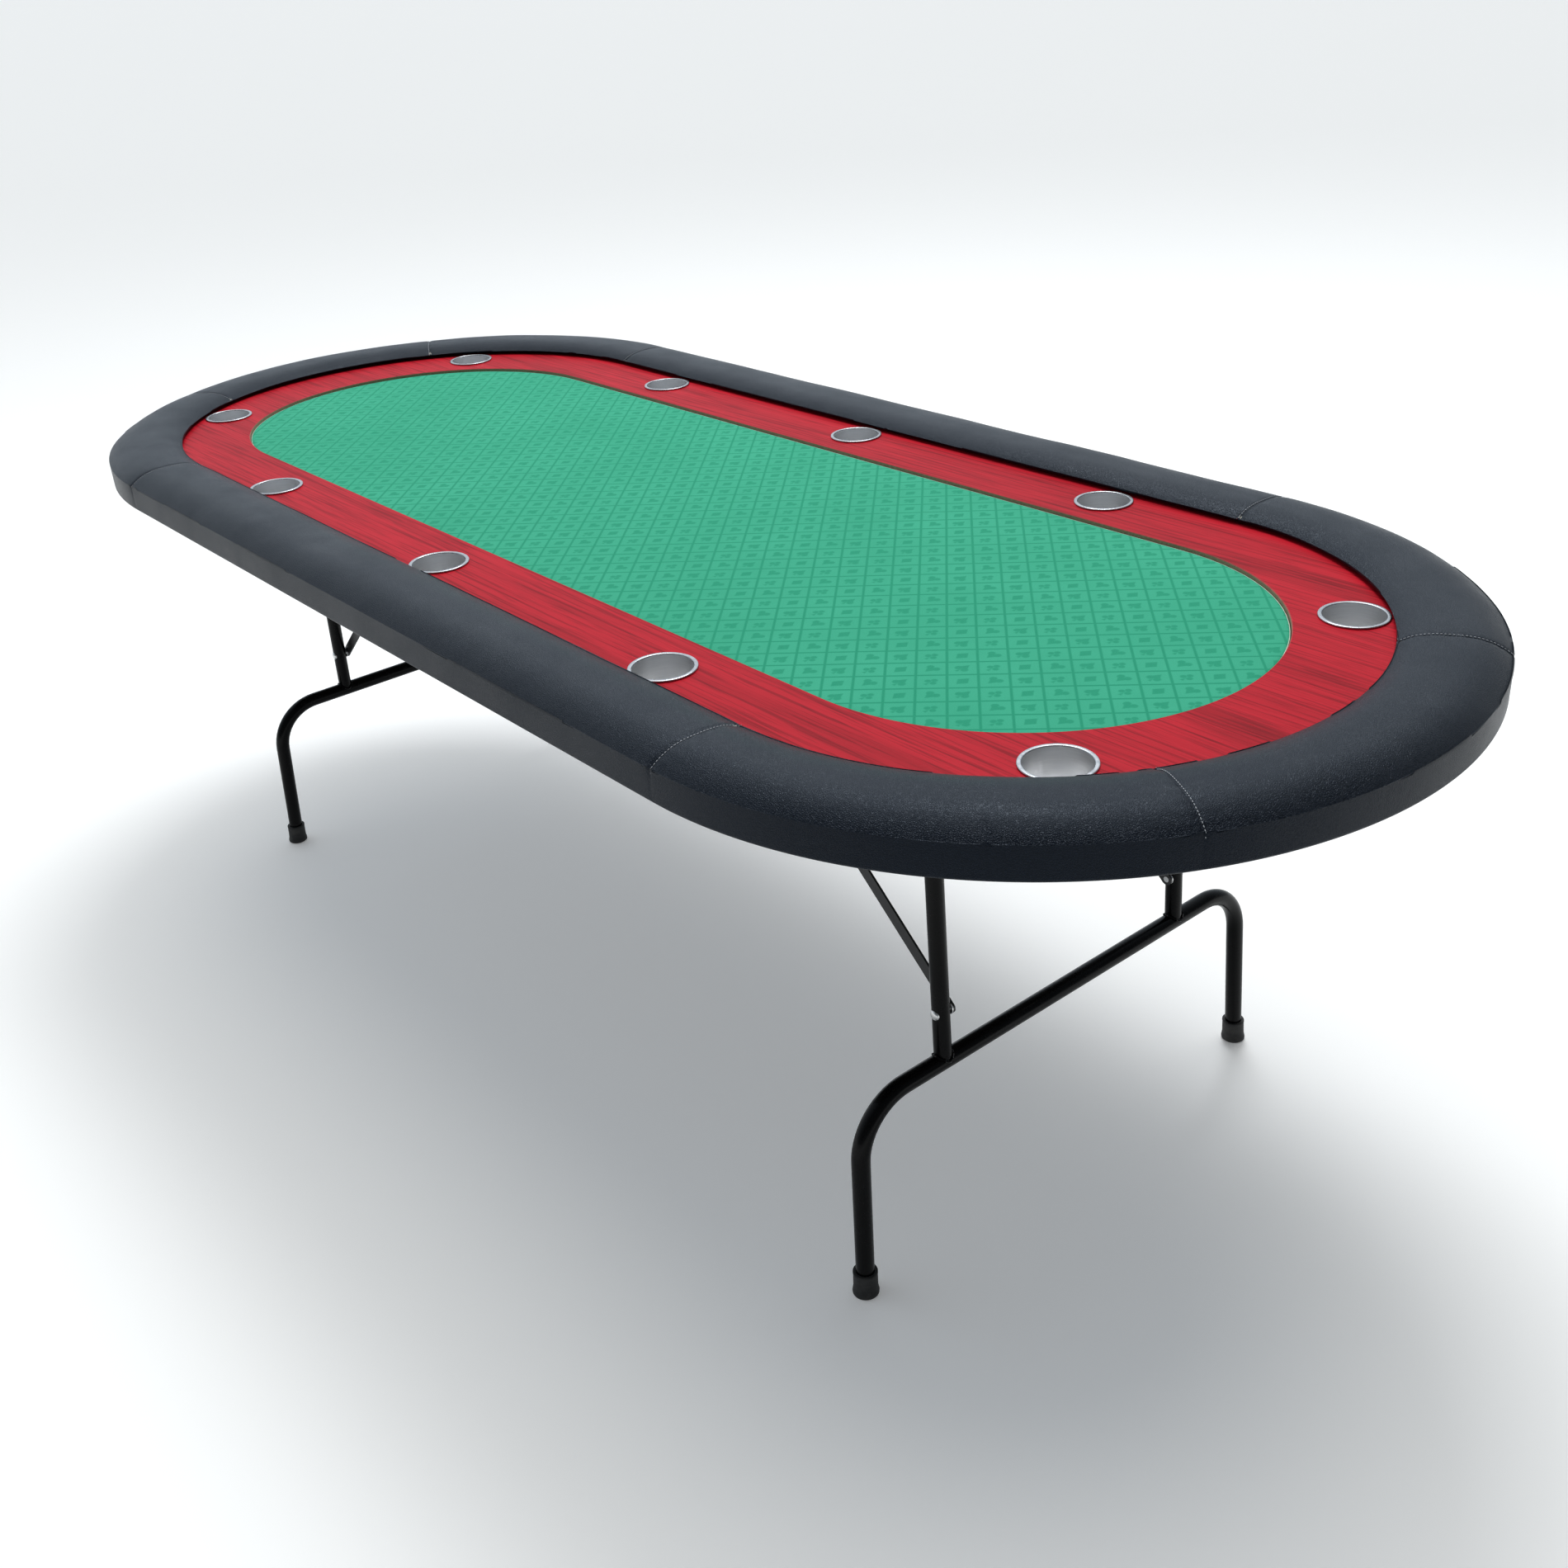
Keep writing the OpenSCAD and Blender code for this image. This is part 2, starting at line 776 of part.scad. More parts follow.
stay_upper(1, -1);  // stay_upper_right_front
stay_upper(1, 1);  // stay_upper_right_back
leg_bow(-1);  // leg_bow_left
hinge_tube(-1);  // hinge_tube_left
leg_rivets(-1);  // leg_rivets_left
upright(-1, -1);  // upright_left_front
upright(-1, 1);  // upright_left_back
foot_cap(-1, -1);  // foot_cap_left_front
foot_cap(-1, 1);  // foot_cap_left_back
stay_lower(-1, -1);  // stay_lower_left_front
stay_lower(-1, 1);  // stay_lower_left_back
stay_upper(-1, -1);  // stay_upper_left_front
stay_upper(-1, 1);  // stay_upper_left_back
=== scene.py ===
import math

import bmesh
import bpy
from mathutils import Matrix, Vector, noise


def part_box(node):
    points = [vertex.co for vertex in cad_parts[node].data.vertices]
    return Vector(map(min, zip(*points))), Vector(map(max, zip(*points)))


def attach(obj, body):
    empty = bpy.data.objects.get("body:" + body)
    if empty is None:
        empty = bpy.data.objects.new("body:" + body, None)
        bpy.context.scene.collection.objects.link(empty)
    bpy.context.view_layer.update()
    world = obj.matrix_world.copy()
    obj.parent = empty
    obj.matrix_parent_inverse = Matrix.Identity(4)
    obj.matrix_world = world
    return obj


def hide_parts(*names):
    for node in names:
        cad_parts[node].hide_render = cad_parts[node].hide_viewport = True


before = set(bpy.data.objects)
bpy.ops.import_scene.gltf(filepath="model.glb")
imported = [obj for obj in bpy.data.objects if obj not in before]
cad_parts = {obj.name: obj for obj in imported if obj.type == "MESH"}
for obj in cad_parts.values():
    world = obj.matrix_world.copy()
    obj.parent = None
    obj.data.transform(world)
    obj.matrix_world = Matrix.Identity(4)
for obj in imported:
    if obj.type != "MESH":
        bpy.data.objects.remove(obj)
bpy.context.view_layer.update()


# ---------------------------------------------------------------- studio
# A plain pale floor, a pale room, a broad sun and a soft box. The camera stands off
# the table's right front corner and looks down its length.

LENS_MM = 37.86
CAMERA_PLACE = (1.9001, -1.3190, 1.4826)
CAMERA_HEADING = 141.68
CAMERA_TILT = 27.98
CAMERA_ROLL = -3.81

scene = bpy.context.scene
scene.view_settings.view_transform = "Standard"


def make_camera():
    data = bpy.data.cameras.new("camera")
    data.lens = LENS_MM
    data.sensor_width = 36.0
    data.clip_start = 0.05
    camera = bpy.data.objects.new("camera", data)
    scene.collection.objects.link(camera)
    turn = Matrix.Rotation(math.radians(CAMERA_HEADING - 90), 4, "Z")
    tilt = Matrix.Rotation(math.radians(90 - CAMERA_TILT), 4, "X")
    roll = Matrix.Rotation(math.radians(CAMERA_ROLL), 4, "Z")
    camera.matrix_world = Matrix.Translation(CAMERA_PLACE) @ turn @ tilt @ roll
    scene.camera = camera


def soft_box(name, place, target, width, height, power, colour):
    data = bpy.data.lights.new(name, "AREA")
    data.shape = "RECTANGLE"
    data.size = width
    data.size_y = height
    data.energy = power
    data.color = colour
    light = bpy.data.objects.new(name, data)
    scene.collection.objects.link(light)
    aim = Vector(target) - Vector(place)
    light.rotation_mode = "QUATERNION"
    light.rotation_quaternion = aim.to_track_quat("-Z", "Y")
    light.location = place


def make_sun():
    """Broad warm light from high behind the table's left end."""
    data = bpy.data.lights.new("sun", "SUN")
    data.energy = 1.0
    data.angle = math.radians(48)
    data.color = (1.0, 0.95, 0.87)
    sun = bpy.data.objects.new("sun", data)
    scene.collection.objects.link(sun)
    sun.rotation_mode = "QUATERNION"
    sun.rotation_quaternion = Vector((0.22, -0.25, -0.94)).to_track_quat("-Z", "Y")


def new_material(name, **principled):
    """A material with its Principled sockets set; returns it, its tree and the shader."""
    made = bpy.data.materials.new(name)
    made.use_nodes = True
    shader = made.node_tree.nodes["Principled BSDF"]
    for key, value in principled.items():
        shader.inputs[key.replace("_", " ")].default_value = value
    return made, made.node_tree, shader


def make_floor():
    bm = bmesh.new()
    bmesh.ops.create_grid(bm, x_segments=1, y_segments=1, size=200)
    mesh = bpy.data.meshes.new("floor")
    bm.to_mesh(mesh)
    bm.free()
    floor = bpy.data.objects.new("floor", mesh)
    scene.collection.objects.link(floor)
    mesh.materials.append(new_material("floor_paint", Base_Color=(0.95, 0.94, 0.92, 1), Roughness=0.8,
                                       Emission_Color=(1, 1, 1, 1), Emission_Strength=0.16)[0])


def make_room():
    """A pale room, brighter behind the table's left end than at its right."""
    world = bpy.data.worlds.new("room")
    world.use_nodes = True
    tree = world.node_tree
    back = tree.nodes["Background"]
    back.inputs["Color"].default_value = (0.80, 0.90, 1.0, 1)
    way = tree.nodes.new("ShaderNodeTexCoord")
    side = tree.nodes.new("ShaderNodeVectorMath")
    side.operation = "DOT_PRODUCT"
    side.inputs[1].default_value = (-0.94, 0.32, 0.1)
    level = tree.nodes.new("ShaderNodeMapRange")
    level.inputs["From Min"].default_value = -0.3
    level.inputs["From Max"].default_value = 0.9
    level.inputs["To Min"].default_value = 0.16
    level.inputs["To Max"].default_value = 1.06
    tree.links.new(way.outputs["Generated"], side.inputs[0])
    tree.links.new(side.outputs["Value"], level.inputs["Value"])
    seen = tree.nodes.new("ShaderNodeLightPath")
    pale = tree.nodes.new("ShaderNodeMath")
    pale.operation = "MAXIMUM"
    tree.links.new(level.outputs["Result"], pale.inputs[0])
    tree.links.new(seen.outputs["Is Camera Ray"], pale.inputs[1])
    tree.links.new(pale.outputs["Value"], back.inputs["Strength"])
    scene.world = world


make_camera()
make_room()
make_sun()
soft_box("glow_panel", (-1.6, 2.2, 5.4), (0.9, -0.4, 0.76), 2.4, 1.3, 165, (0.92, 0.96, 1.0))
make_floor()


# ---------------------------------------------------------------- deck board
# One sheet of dark-stained plywood under the whole top. The legs' brackets
# are screwed to it, and the cups hang through its holes.

def add(tree, kind, settings=None, **inputs):
    """One shader node. Each input is a value or another node's output."""
    made = tree.nodes.new(kind)
    for key, value in (settings or {}).items():
        setattr(made, key, value)
    for key, value in inputs.items():
        plug = made.inputs[int(key[1:]) if key[1:].isdigit() else key.replace("_", " ")]
        if isinstance(value, bpy.types.NodeSocket):
            tree.links.new(value, plug)
        else:
            plug.default_value = value
    return made


def object_place(tree):
    return add(tree, "ShaderNodeTexCoord").outputs["Object"]


def stretched(tree, scale):
    """Object coordinates scaled along each axis."""
    return add(tree, "ShaderNodeMapping", Vector=object_place(tree), Scale=scale).outputs["Vector"]


def ramp(tree, factor, *stops):
    """Colour ramp; each stop is (place, red, green, blue)."""
    made = add(tree, "ShaderNodeValToRGB", Fac=factor)
    elements = made.color_ramp.elements
    while len(elements) < len(stops):
        elements.new(0.5)
    for element, (place, *colour) in zip(elements, stops):
        element.position = place
        element.color = (*colour, 1)
    return made.outputs["Color"]


def bump(tree, shader, height, distance, strength=1.0):
    made = add(tree, "ShaderNodeBump", Height=height, Distance=distance, Strength=strength)
    tree.links.new(made.outputs["Normal"], shader.inputs["Normal"])
    return made


def build_grain_group():
    """Long wood figure along X: broad bands, fine streaks and short dark pores."""
    group = bpy.data.node_groups.new("wood_figure", "ShaderNodeTree")
    group.interface.new_socket("Vector", in_out="INPUT", socket_type="NodeSocketVector")
    group.interface.new_socket("Bands", in_out="OUTPUT", socket_type="NodeSocketFloat")
    group.interface.new_socket("Streaks", in_out="OUTPUT", socket_type="NodeSocketFloat")
    group.interface.new_socket("Pores", in_out="OUTPUT", socket_type="NodeSocketFloat")
    start = group.nodes.new("NodeGroupInput").outputs["Vector"]
    end = group.nodes.new("NodeGroupOutput")

    def figure(scale, texture_scale, detail, distortion):
        place = add(group, "ShaderNodeMapping", Vector=start, Scale=scale)
        return add(group, "ShaderNodeTexNoise", Vector=place.outputs["Vector"], Scale=texture_scale,
                   Detail=detail, Distortion=distortion).outputs["Fac"]

    group.links.new(figure((1.1, 26, 26), 1.0, 5.0, 0.9), end.inputs["Bands"])
    group.links.new(figure((5.0, 210, 210), 1.0, 4.0, 0.4), end.inputs["Streaks"])
    group.links.new(figure((14, 420, 420), 1.0, 2.0, 0.0), end.inputs["Pores"])
    return group


WOOD_FIGURE = build_grain_group()


def wood_figure(tree, place):
    return add(tree, "ShaderNodeGroup", {"node_tree": WOOD_FIGURE}, Vector=place).outputs


def paint_node(names, material):
    """Gives CAD nodes a material in place of their flat one."""
    for name in names:
        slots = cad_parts[name].material_slots
        for one in slots:
            one.material = material
        if not slots:
            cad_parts[name].data.materials.append(material)


def stained_plywood(name, dark, light):
    made, tree, shader = new_material(name, Roughness=0.62)
    figure = wood_figure(tree, object_place(tree))
    mixed = add(tree, "ShaderNodeMath", {"operation": "MULTIPLY"},
                i0=figure["Bands"], i1=figure["Streaks"])
    colour = ramp(tree, mixed.outputs[0], (0.12, *dark), (0.42, *light))
    tree.links.new(colour, shader.inputs["Base Color"])
    bump(tree, shader, figure["Streaks"], 0.0004, 0.5)
    return made


paint_node(["deck_board"], stained_plywood("deck_stain", (0.018, 0.014, 0.011), (0.055, 0.042, 0.032)))
paint_node(["rail_frame", "playfield_board"],
           stained_plywood("raw_plywood", (0.34, 0.22, 0.12), (0.62, 0.45, 0.28)))


# ---------------------------------------------------------------- racetrack
# A fibreboard ring round the playfield, faced with a glossy red mahogany
# laminate whose figure runs along the table. Its inner edge is bevelled.

def fibreboard():
    made, tree, shader = new_material("fibreboard", Roughness=0.8)
    fibres = add(tree, "ShaderNodeTexNoise", Vector=stretched(tree, (400, 400, 900)),
                 Scale=1.0, Detail=3.0)
    colour = ramp(tree, fibres.outputs["Fac"], (0.3, 0.26, 0.17, 0.10), (0.7, 0.42, 0.30, 0.19))
    tree.links.new(colour, shader.inputs["Base Color"])
    bump(tree, shader, fibres.outputs["Fac"], 0.0003, 0.4)
    return made


def mahogany_laminate():
    made, tree, shader = new_material("mahogany_laminate", Roughness=0.45, IOR=1.45)
    shader.inputs["Specular IOR Level"].default_value = 0.05
    shader.inputs["Coat Weight"].default_value = 0.03
    shader.inputs["Coat Roughness"].default_value = 0.3
    figure = wood_figure(tree, object_place(tree))
    base = ramp(tree, figure["Bands"], (0.30, 0.370, 0.005, 0.013), (0.44, 0.440, 0.007, 0.017),
                (0.58, 0.520, 0.009, 0.021), (0.75, 0.430, 0.006, 0.016))
    streaks = ramp(tree, figure["Streaks"], (0.38, 0.50, 0.44, 0.48), (0.50, 1.0, 1.0, 1.0))
    pores = ramp(tree, figure["Pores"], (0.34, 0.55, 0.5, 0.5), (0.42, 1.0, 1.0, 1.0))
    figured = add(tree, "ShaderNodeMix", {"data_type": "RGBA", "blend_type": "MULTIPLY"}, i0=0.75,
                  i6=base, i7=streaks)
    pored = add(tree, "ShaderNodeMix", {"data_type": "RGBA", "blend_type": "MULTIPLY"}, i0=0.6,
                i6=figured.outputs[2], i7=pores)
    facing = add(tree, "ShaderNodeSeparateXYZ",
                 Vector=add(tree, "ShaderNodeNewGeometry").outputs["Normal"])
    flat = add(tree, "ShaderNodeMapRange", Value=facing.outputs["Z"], From_Min=0.6, From_Max=0.95)
    edged = add(tree, "ShaderNodeMix", {"data_type": "RGBA"}, i0=flat.outputs[0],
                i6=(0.42, 0.16, 0.13, 1), i7=pored.outputs[2])
    tree.links.new(edged.outputs[2], shader.inputs["Base Color"])
    rough = add(tree, "ShaderNodeMapRange", Value=figure["Streaks"], To_Min=0.52, To_Max=0.42)
    tree.links.new(rough.outputs[0], shader.inputs["Roughness"])
    bump(tree, shader, figure["Streaks"], 0.0002, 0.25)
    return made


paint_node(["racetrack_board"], fibreboard())


# ---------------------------------------------------------------- playfield
# A board with sheet foam glued on, wrapped in woven green playing cloth.
# The cloth's print is a slanted lattice with a generic card suit in each cell.

ARC_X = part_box("rail_cover_back")[1].x
CLOTH_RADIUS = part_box("speed_cloth")[1].y
CLOTH_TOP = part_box("speed_cloth")[1].z
CLOTH_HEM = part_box("speed_cloth")[0].z
CLOTH_PITCH = 0.0337
CLOTH_LINE = 0.0026
SUIT_SIZE = 0.0105
OVAL_SEGMENTS = 320


def new_piece(name, bm, material, body, slot, *nodes):
    """Turns a bmesh into a piece in the row frame that rides on a body."""
    mesh = bpy.data.meshes.new(name)
    bm.to_mesh(mesh)
    bm.free()
    mesh.materials.append(material)
    made = bpy.data.objects.new(name, mesh)
    scene.collection.objects.link(made)
    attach(made, body)
    if nodes:
        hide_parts(*nodes)
    return made


def smooth_below(bm, degrees):
    """Rounds the shading over every edge flatter than this angle."""
    for face in bm.faces:
        face.smooth = True
    for edge in bm.edges:
        edge.smooth = edge.is_manifold and edge.calc_face_angle(0) < math.radians(degrees)


def oval_loop(bm, radius, z):
    """Edges of one oval outline with half-round ends."""
    verts = bmesh.ops.create_circle(bm, segments=OVAL_SEGMENTS, radius=radius,
                                    matrix=Matrix.Rotation(math.pi / OVAL_SEGMENTS, 4, "Z"))["verts"]
    for vert in verts:
        vert.co += Vector((math.copysign(ARC_X, vert.co.x), 0, z))
    return list({edge for vert in verts for edge in vert.link_edges})


def oval_loft(bm, outline):
    """Skin through a list of (radius, height) ovals; returns the last loop."""
    loops = [oval_loop(bm, radius, z) for radius, z in outline]
    for low, high in zip(loops, loops[1:]):
        bmesh.ops.bridge_loops(bm, edges=low + high)
    return loops[-1]


class Sum:
    """A shader value that can be written as arithmetic."""

    def __init__(self, tree, value):
        self.tree, self.value = tree, value

    def do(self, operation, *others):
        plugs = [other.value if isinstance(other, Sum) else other for other in others]
        made = add(self.tree, "ShaderNodeMath", {"operation": operation}, i0=self.value,
                   **{f"i{n + 1}": plug for n, plug in enumerate(plugs)})
        return Sum(self.tree, made.outputs[0])

    def __add__(self, other):
        return self.do("ADD", other)

    def __sub__(self, other):
        return self.do("SUBTRACT", other)

    def __mul__(self, other):
        return self.do("MULTIPLY", other)

    def smaller(self, other):
        return self.do("MINIMUM", other)

    def larger(self, other):
        return self.do("MAXIMUM", other)

    def size(self):
        return self.do("ABSOLUTE")

    def round_from(self, other, x, y, radius):
        """Distance to a disc at (x, y), this being the X and other the Y."""
        across, up = self - x, other - y
        return (across * across + up * up).do("SQRT") - radius


def heart(x, y):
    lobes = x.size().round_from(y, 0.42, 0.28, 0.43)
    point = (x.size() - (y + 0.95) * 0.62).larger(y - 0.30)
    return lobes.smaller(point)


def stem(x, y):
    return (x.size() - (y * -0.30 - 0.06)).larger(y + 0.15).larger(y * -1 - 0.95)


def build_suit_group():
    """Lattice lines and suits as two masks over the cloth's X and Y."""
    group = bpy.data.node_groups.new("suited_lattice", "ShaderNodeTree")
    group.interface.new_socket("Vector", in_out="INPUT", socket_type="NodeSocketVector")
    group.interface.new_socket("Lines", in_out="OUTPUT", socket_type="NodeSocketFloat")
    group.interface.new_socket("Suits", in_out="OUTPUT", socket_type="NodeSocketFloat")
    start = group.nodes.new("NodeGroupInput").outputs["Vector"]
    end = group.nodes.new("NodeGroupOutput")
    place = add(group, "ShaderNodeSeparateXYZ", Vector=start)
    x, y = Sum(group, place.outputs["X"]), Sum(group, place.outputs["Y"])
    slant = 1 / (math.sqrt(2) * CLOTH_PITCH)
    along, across = (x + y) * slant, (y - x) * slant
    in_along, in_across = along.do("FRACT") - 0.5, across.do("FRACT") - 0.5
    edge = in_along.size().larger(in_across.size())
    half_line = CLOTH_LINE / (2 * CLOTH_PITCH)
    lines = add(group, "ShaderNodeMapRange", {"interpolation_type": "SMOOTHSTEP"}, Value=edge.value,
                From_Min=0.5 - 1.9 * half_line, From_Max=0.5 - 0.5 * half_line)
    scale = CLOTH_PITCH / (math.sqrt(2) * SUIT_SIZE)
    u, v = (in_along - in_across) * scale, (in_along + in_across) * scale
    kind = (along.do("FLOOR") + across.do("FLOOR") * 2).do("FLOORED_MODULO", 4)
    shapes = [
        u.size() + v.size() * 0.78 - 0.74,
        heart(u, v),
        heart(u, v * -1 + 0.12).smaller(stem(u, v)),
        u.round_from(v, 0, 0.45, 0.36)
        .smaller(u.size().round_from(v, 0.38, -0.12, 0.36)).smaller(stem(u, v)),
    ]
    chosen = None
    for number, shape in enumerate(shapes):
        inside = add(group, "ShaderNodeMapRange", {"interpolation_type": "SMOOTHSTEP"}, Value=shape.value,
                     From_Min=0.10, From_Max=-0.12)
        picked = kind.do("COMPARE", number, 0.3) * inside.outputs[0]
        chosen = picked if chosen is None else chosen + picked
    group.links.new(lines.outputs[0], end.inputs["Lines"])
    group.links.new(chosen.value, end.inputs["Suits"])
    return group


def playing_cloth():
    made, tree, shader = new_material("playing_cloth", Roughness=0.85)
    shader.inputs["Sheen Weight"].default_value = 0.06
    shader.inputs["Sheen Roughness"].default_value = 0.5
    shader.inputs["Sheen Tint"].default_value = (0.75, 1.0, 0.9, 1)
    shader.inputs["Specular IOR Level"].default_value = 0.1
    place = object_place(tree)
    print_masks = add(tree, "ShaderNodeGroup", {"node_tree": build_suit_group()}, Vector=place).outputs
    cloud = add(tree, "ShaderNodeTexNoise", Vector=place, Scale=5.0, Detail=4.0, Roughness=0.6)
    ground = ramp(tree, cloud.outputs["Fac"], (0.3, 0.040, 0.385, 0.225), (0.7, 0.052, 0.430, 0.258))
    inked = Sum(tree, print_masks["Lines"]).larger(Sum(tree, print_masks["Suits"]) * 0.85)
    printed = add(tree, "ShaderNodeMix", {"data_type": "RGBA"}, i0=inked.value, i6=ground,
                  i7=(0.018, 0.310, 0.172, 1))
    fleck = add(tree, "ShaderNodeTexNoise", Vector=place, Scale=900.0, Detail=2.0)
    flecked = add(tree, "ShaderNodeMix", {"data_type": "RGBA", "blend_type": "MULTIPLY"}, i0=0.35,
                  i6=printed.outputs[2],
                  i7=ramp(tree, fleck.outputs["Fac"], (0.3, 0.7, 0.7, 0.7), (0.6, 1, 1, 1)))
    tree.links.new(flecked.outputs[2], shader.inputs["Base Color"])
    warp = add(tree, "ShaderNodeTexWave", {"bands_direction": "X"}, Vector=place, Scale=320.0)
    weft = add(tree, "ShaderNodeTexWave", {"bands_direction": "Y"}, Vector=place, Scale=320.0)
    weave = Sum(tree, warp.outputs["Fac"]) * Sum(tree, weft.outputs["Fac"]) + Sum(tree, inked.value) * -0.4
    bump(tree, shader, weave.value, 0.00025, 0.6)
    return made


def make_cloth():
    bm = bmesh.new()
    top = oval_loft(bm, [
        (CLOTH_RADIUS - 0.0004, CLOTH_HEM + 0.001), (CLOTH_RADIUS - 0.0002, CLOTH_TOP - 0.0040),
        (CLOTH_RADIUS - 0.0006, CLOTH_TOP - 0.0022), (CLOTH_RADIUS - 0.0019, CLOTH_TOP - 0.0009),
        (CLOTH_RADIUS - 0.0045, CLOTH_TOP - 0.0002), (CLOTH_RADIUS - 0.0120, CLOTH_TOP),
    ])
    bmesh.ops.contextual_create(bm, geom=top)
    bmesh.ops.recalc_face_normals(bm, faces=bm.faces)
    if max(bm.faces, key=lambda face: face.calc_area()).normal.z < 0:
        bmesh.ops.reverse_faces(bm, faces=bm.faces)
    smooth_below(bm, 60)
    cloth = new_piece("speed_cloth_sheet", bm, playing_cloth(), "table_top", "speed_cloth", "speed_cloth")
    wall = cloth.modifiers.new("cloth", "SOLIDIFY")
    wall.thickness = 0.0008
    wall.offset = -1


make_cloth()


def pad_foam():
    made, tree, shader = new_material("pad_foam", Roughness=0.95)
    cells = add(tree, "ShaderNodeTexVoronoi", Vector=object_place(tree), Scale=700.0)
    tree.links.new(ramp(tree, cells.outputs["Distance"], (0.0, 0.42, 0.40, 0.33), (0.6, 0.74, 0.71, 0.60)),
                   shader.inputs["Base Color"])
    bump(tree, shader, cells.outputs["Distance"], 0.0006, 0.7)
    return made


PAD_FOAM = pad_foam()
paint_node(["playfield_foam"], PAD_FOAM)


# ---------------------------------------------------------------- racetrack facing
# The laminate itself: one flat ring with ten round holes, its inner lip
# broken by a small bevel.

def ring_loop(bm, centre, radius, z, segments=72):
    verts = bmesh.ops.create_circle(bm, segments=segments, radius=radius,
                                    matrix=Matrix.Translation((centre[0], centre[1], z)))["verts"]
    return list({edge for vert in verts for edge in vert.link_edges})


def make_laminate(material):
    low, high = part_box("racetrack_laminate")
    outer = high.y
    inner = CLOTH_RADIUS + 0.0005
    hole = 0.0372
    bm = bmesh.new()
    sheets = []
    for z, lip in ((high.z, 0.0009), (low.z, 0.0)):
        loops = [oval_loop(bm, outer, z), oval_loop(bm, inner + lip, z)]
        loops += [ring_loop(bm, place, hole, z) for place in CUP_PLACES]
        bmesh.ops.triangle_fill(bm, use_beauty=True, edges=[edge for loop in loops for edge in loop])
        sheets.append(loops)
    shoulder = oval_loop(bm, inner, high.z - 0.0007)
    bmesh.ops.bridge_loops(bm, edges=sheets[0][1] + shoulder)
    bmesh.ops.bridge_loops(bm, edges=shoulder + sheets[1][1])
    for top, bottom in zip(sheets[0][:1] + sheets[0][2:], sheets[1][:1] + sheets[1][2:]):
        bmesh.ops.bridge_loops(bm, edges=top + bottom)
    bmesh.ops.recalc_face_normals(bm, faces=bm.faces)
    smooth_below(bm, 30)
    new_piece("racetrack_facing", bm, material, "table_top", "track_laminate", "racetrack_laminate")


CUP_BOXES = [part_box(f"cup_holder_{number}") for number in range(1, 11)]
CUP_PLACES = [((low.x + high.x) / 2, (low.y + high.y) / 2) for low, high in CUP_BOXES]
make_laminate(mahogany_laminate())


# ---------------------------------------------------------------- rail padding
# Strips of upholstery foam on the plywood ring, butted behind each seam.

RAIL_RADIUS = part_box("rail_cover_back")[1].y
RAIL_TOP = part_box("rail_cover_back")[1].z
RAIL_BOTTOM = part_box("rail_cover_back")[0].z
RAIL_WIDTH = 0.118
NOSE_Z = RAIL_TOP - 0.013
CREASE_Z = RAIL_BOTTOM + 0.040
FOOT_RADIUS = RAIL_RADIUS - RAIL_WIDTH + 0.021
SKIRT_RADIUS = RAIL_RADIUS - 0.022
TRACK_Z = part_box("rail_foam")[0].z
SEAM_ANGLE = math.radians(29.5)
CROWN_STEPS = 44


def crown_point(step, inset):
    """Rail's padded top, from the inner nose at step 0 to the outer crease."""
    u = -math.cos(math.pi * step / CROWN_STEPS)
    across = RAIL_RADIUS - RAIL_WIDTH / 2 + u * (RAIL_WIDTH / 2 - inset)
    if u < 0:
        return across, NOSE_Z + (RAIL_TOP - inset - NOSE_Z) * (1 - abs(u) ** 3)
    return across, CREASE_Z + (RAIL_TOP - inset - CREASE_Z) * (1 - u ** 2.6)


def nose_and_side(inset):
    """Open section from the rail's foot, over the crown, to the skirt's inner edge."""
    start = [(FOOT_RADIUS, TRACK_Z - 0.022), (FOOT_RADIUS, NOSE_Z - 0.0032)]
    nose = [(RAIL_RADIUS - RAIL_WIDTH + 0.006 + 0.006 * math.cos(angle),
             NOSE_Z + 0.0032 * math.sin(angle))
            for angle in [math.radians(270 - 15 * n) for n in range(6)]]
    crown = [crown_point(step, inset) for step in range(CROWN_STEPS + 1)]
    side = [(RAIL_RADIUS, CREASE_Z - 0.006 * n) for n in range(1, 6)]
    corner = [(RAIL_RADIUS - 0.005 + 0.005 * math.cos(angle),
               RAIL_BOTTOM + 0.005 + 0.005 * math.sin(angle))
              for angle in [math.radians(-15 * n) for n in range(7)]]
    skirt = [(SKIRT_RADIUS, RAIL_BOTTOM), (SKIRT_RADIUS, RAIL_BOTTOM + 0.015)]
    return start + nose + crown + side + corner + skirt


def section_edges(bm, section, closed, at, turn):
    """The section stood up at one end of a strip, facing outward."""
    place = Matrix.Translation(at) @ Matrix.Rotation(turn, 4, "Z")
    verts = [bm.verts.new(place @ Vector((across, 0, z))) for across, z in section]
    pairs = list(zip(verts, verts[1:])) + ([(verts[-1], verts[0])] if closed else [])
    return [bm.edges.new(pair) for pair in pairs]


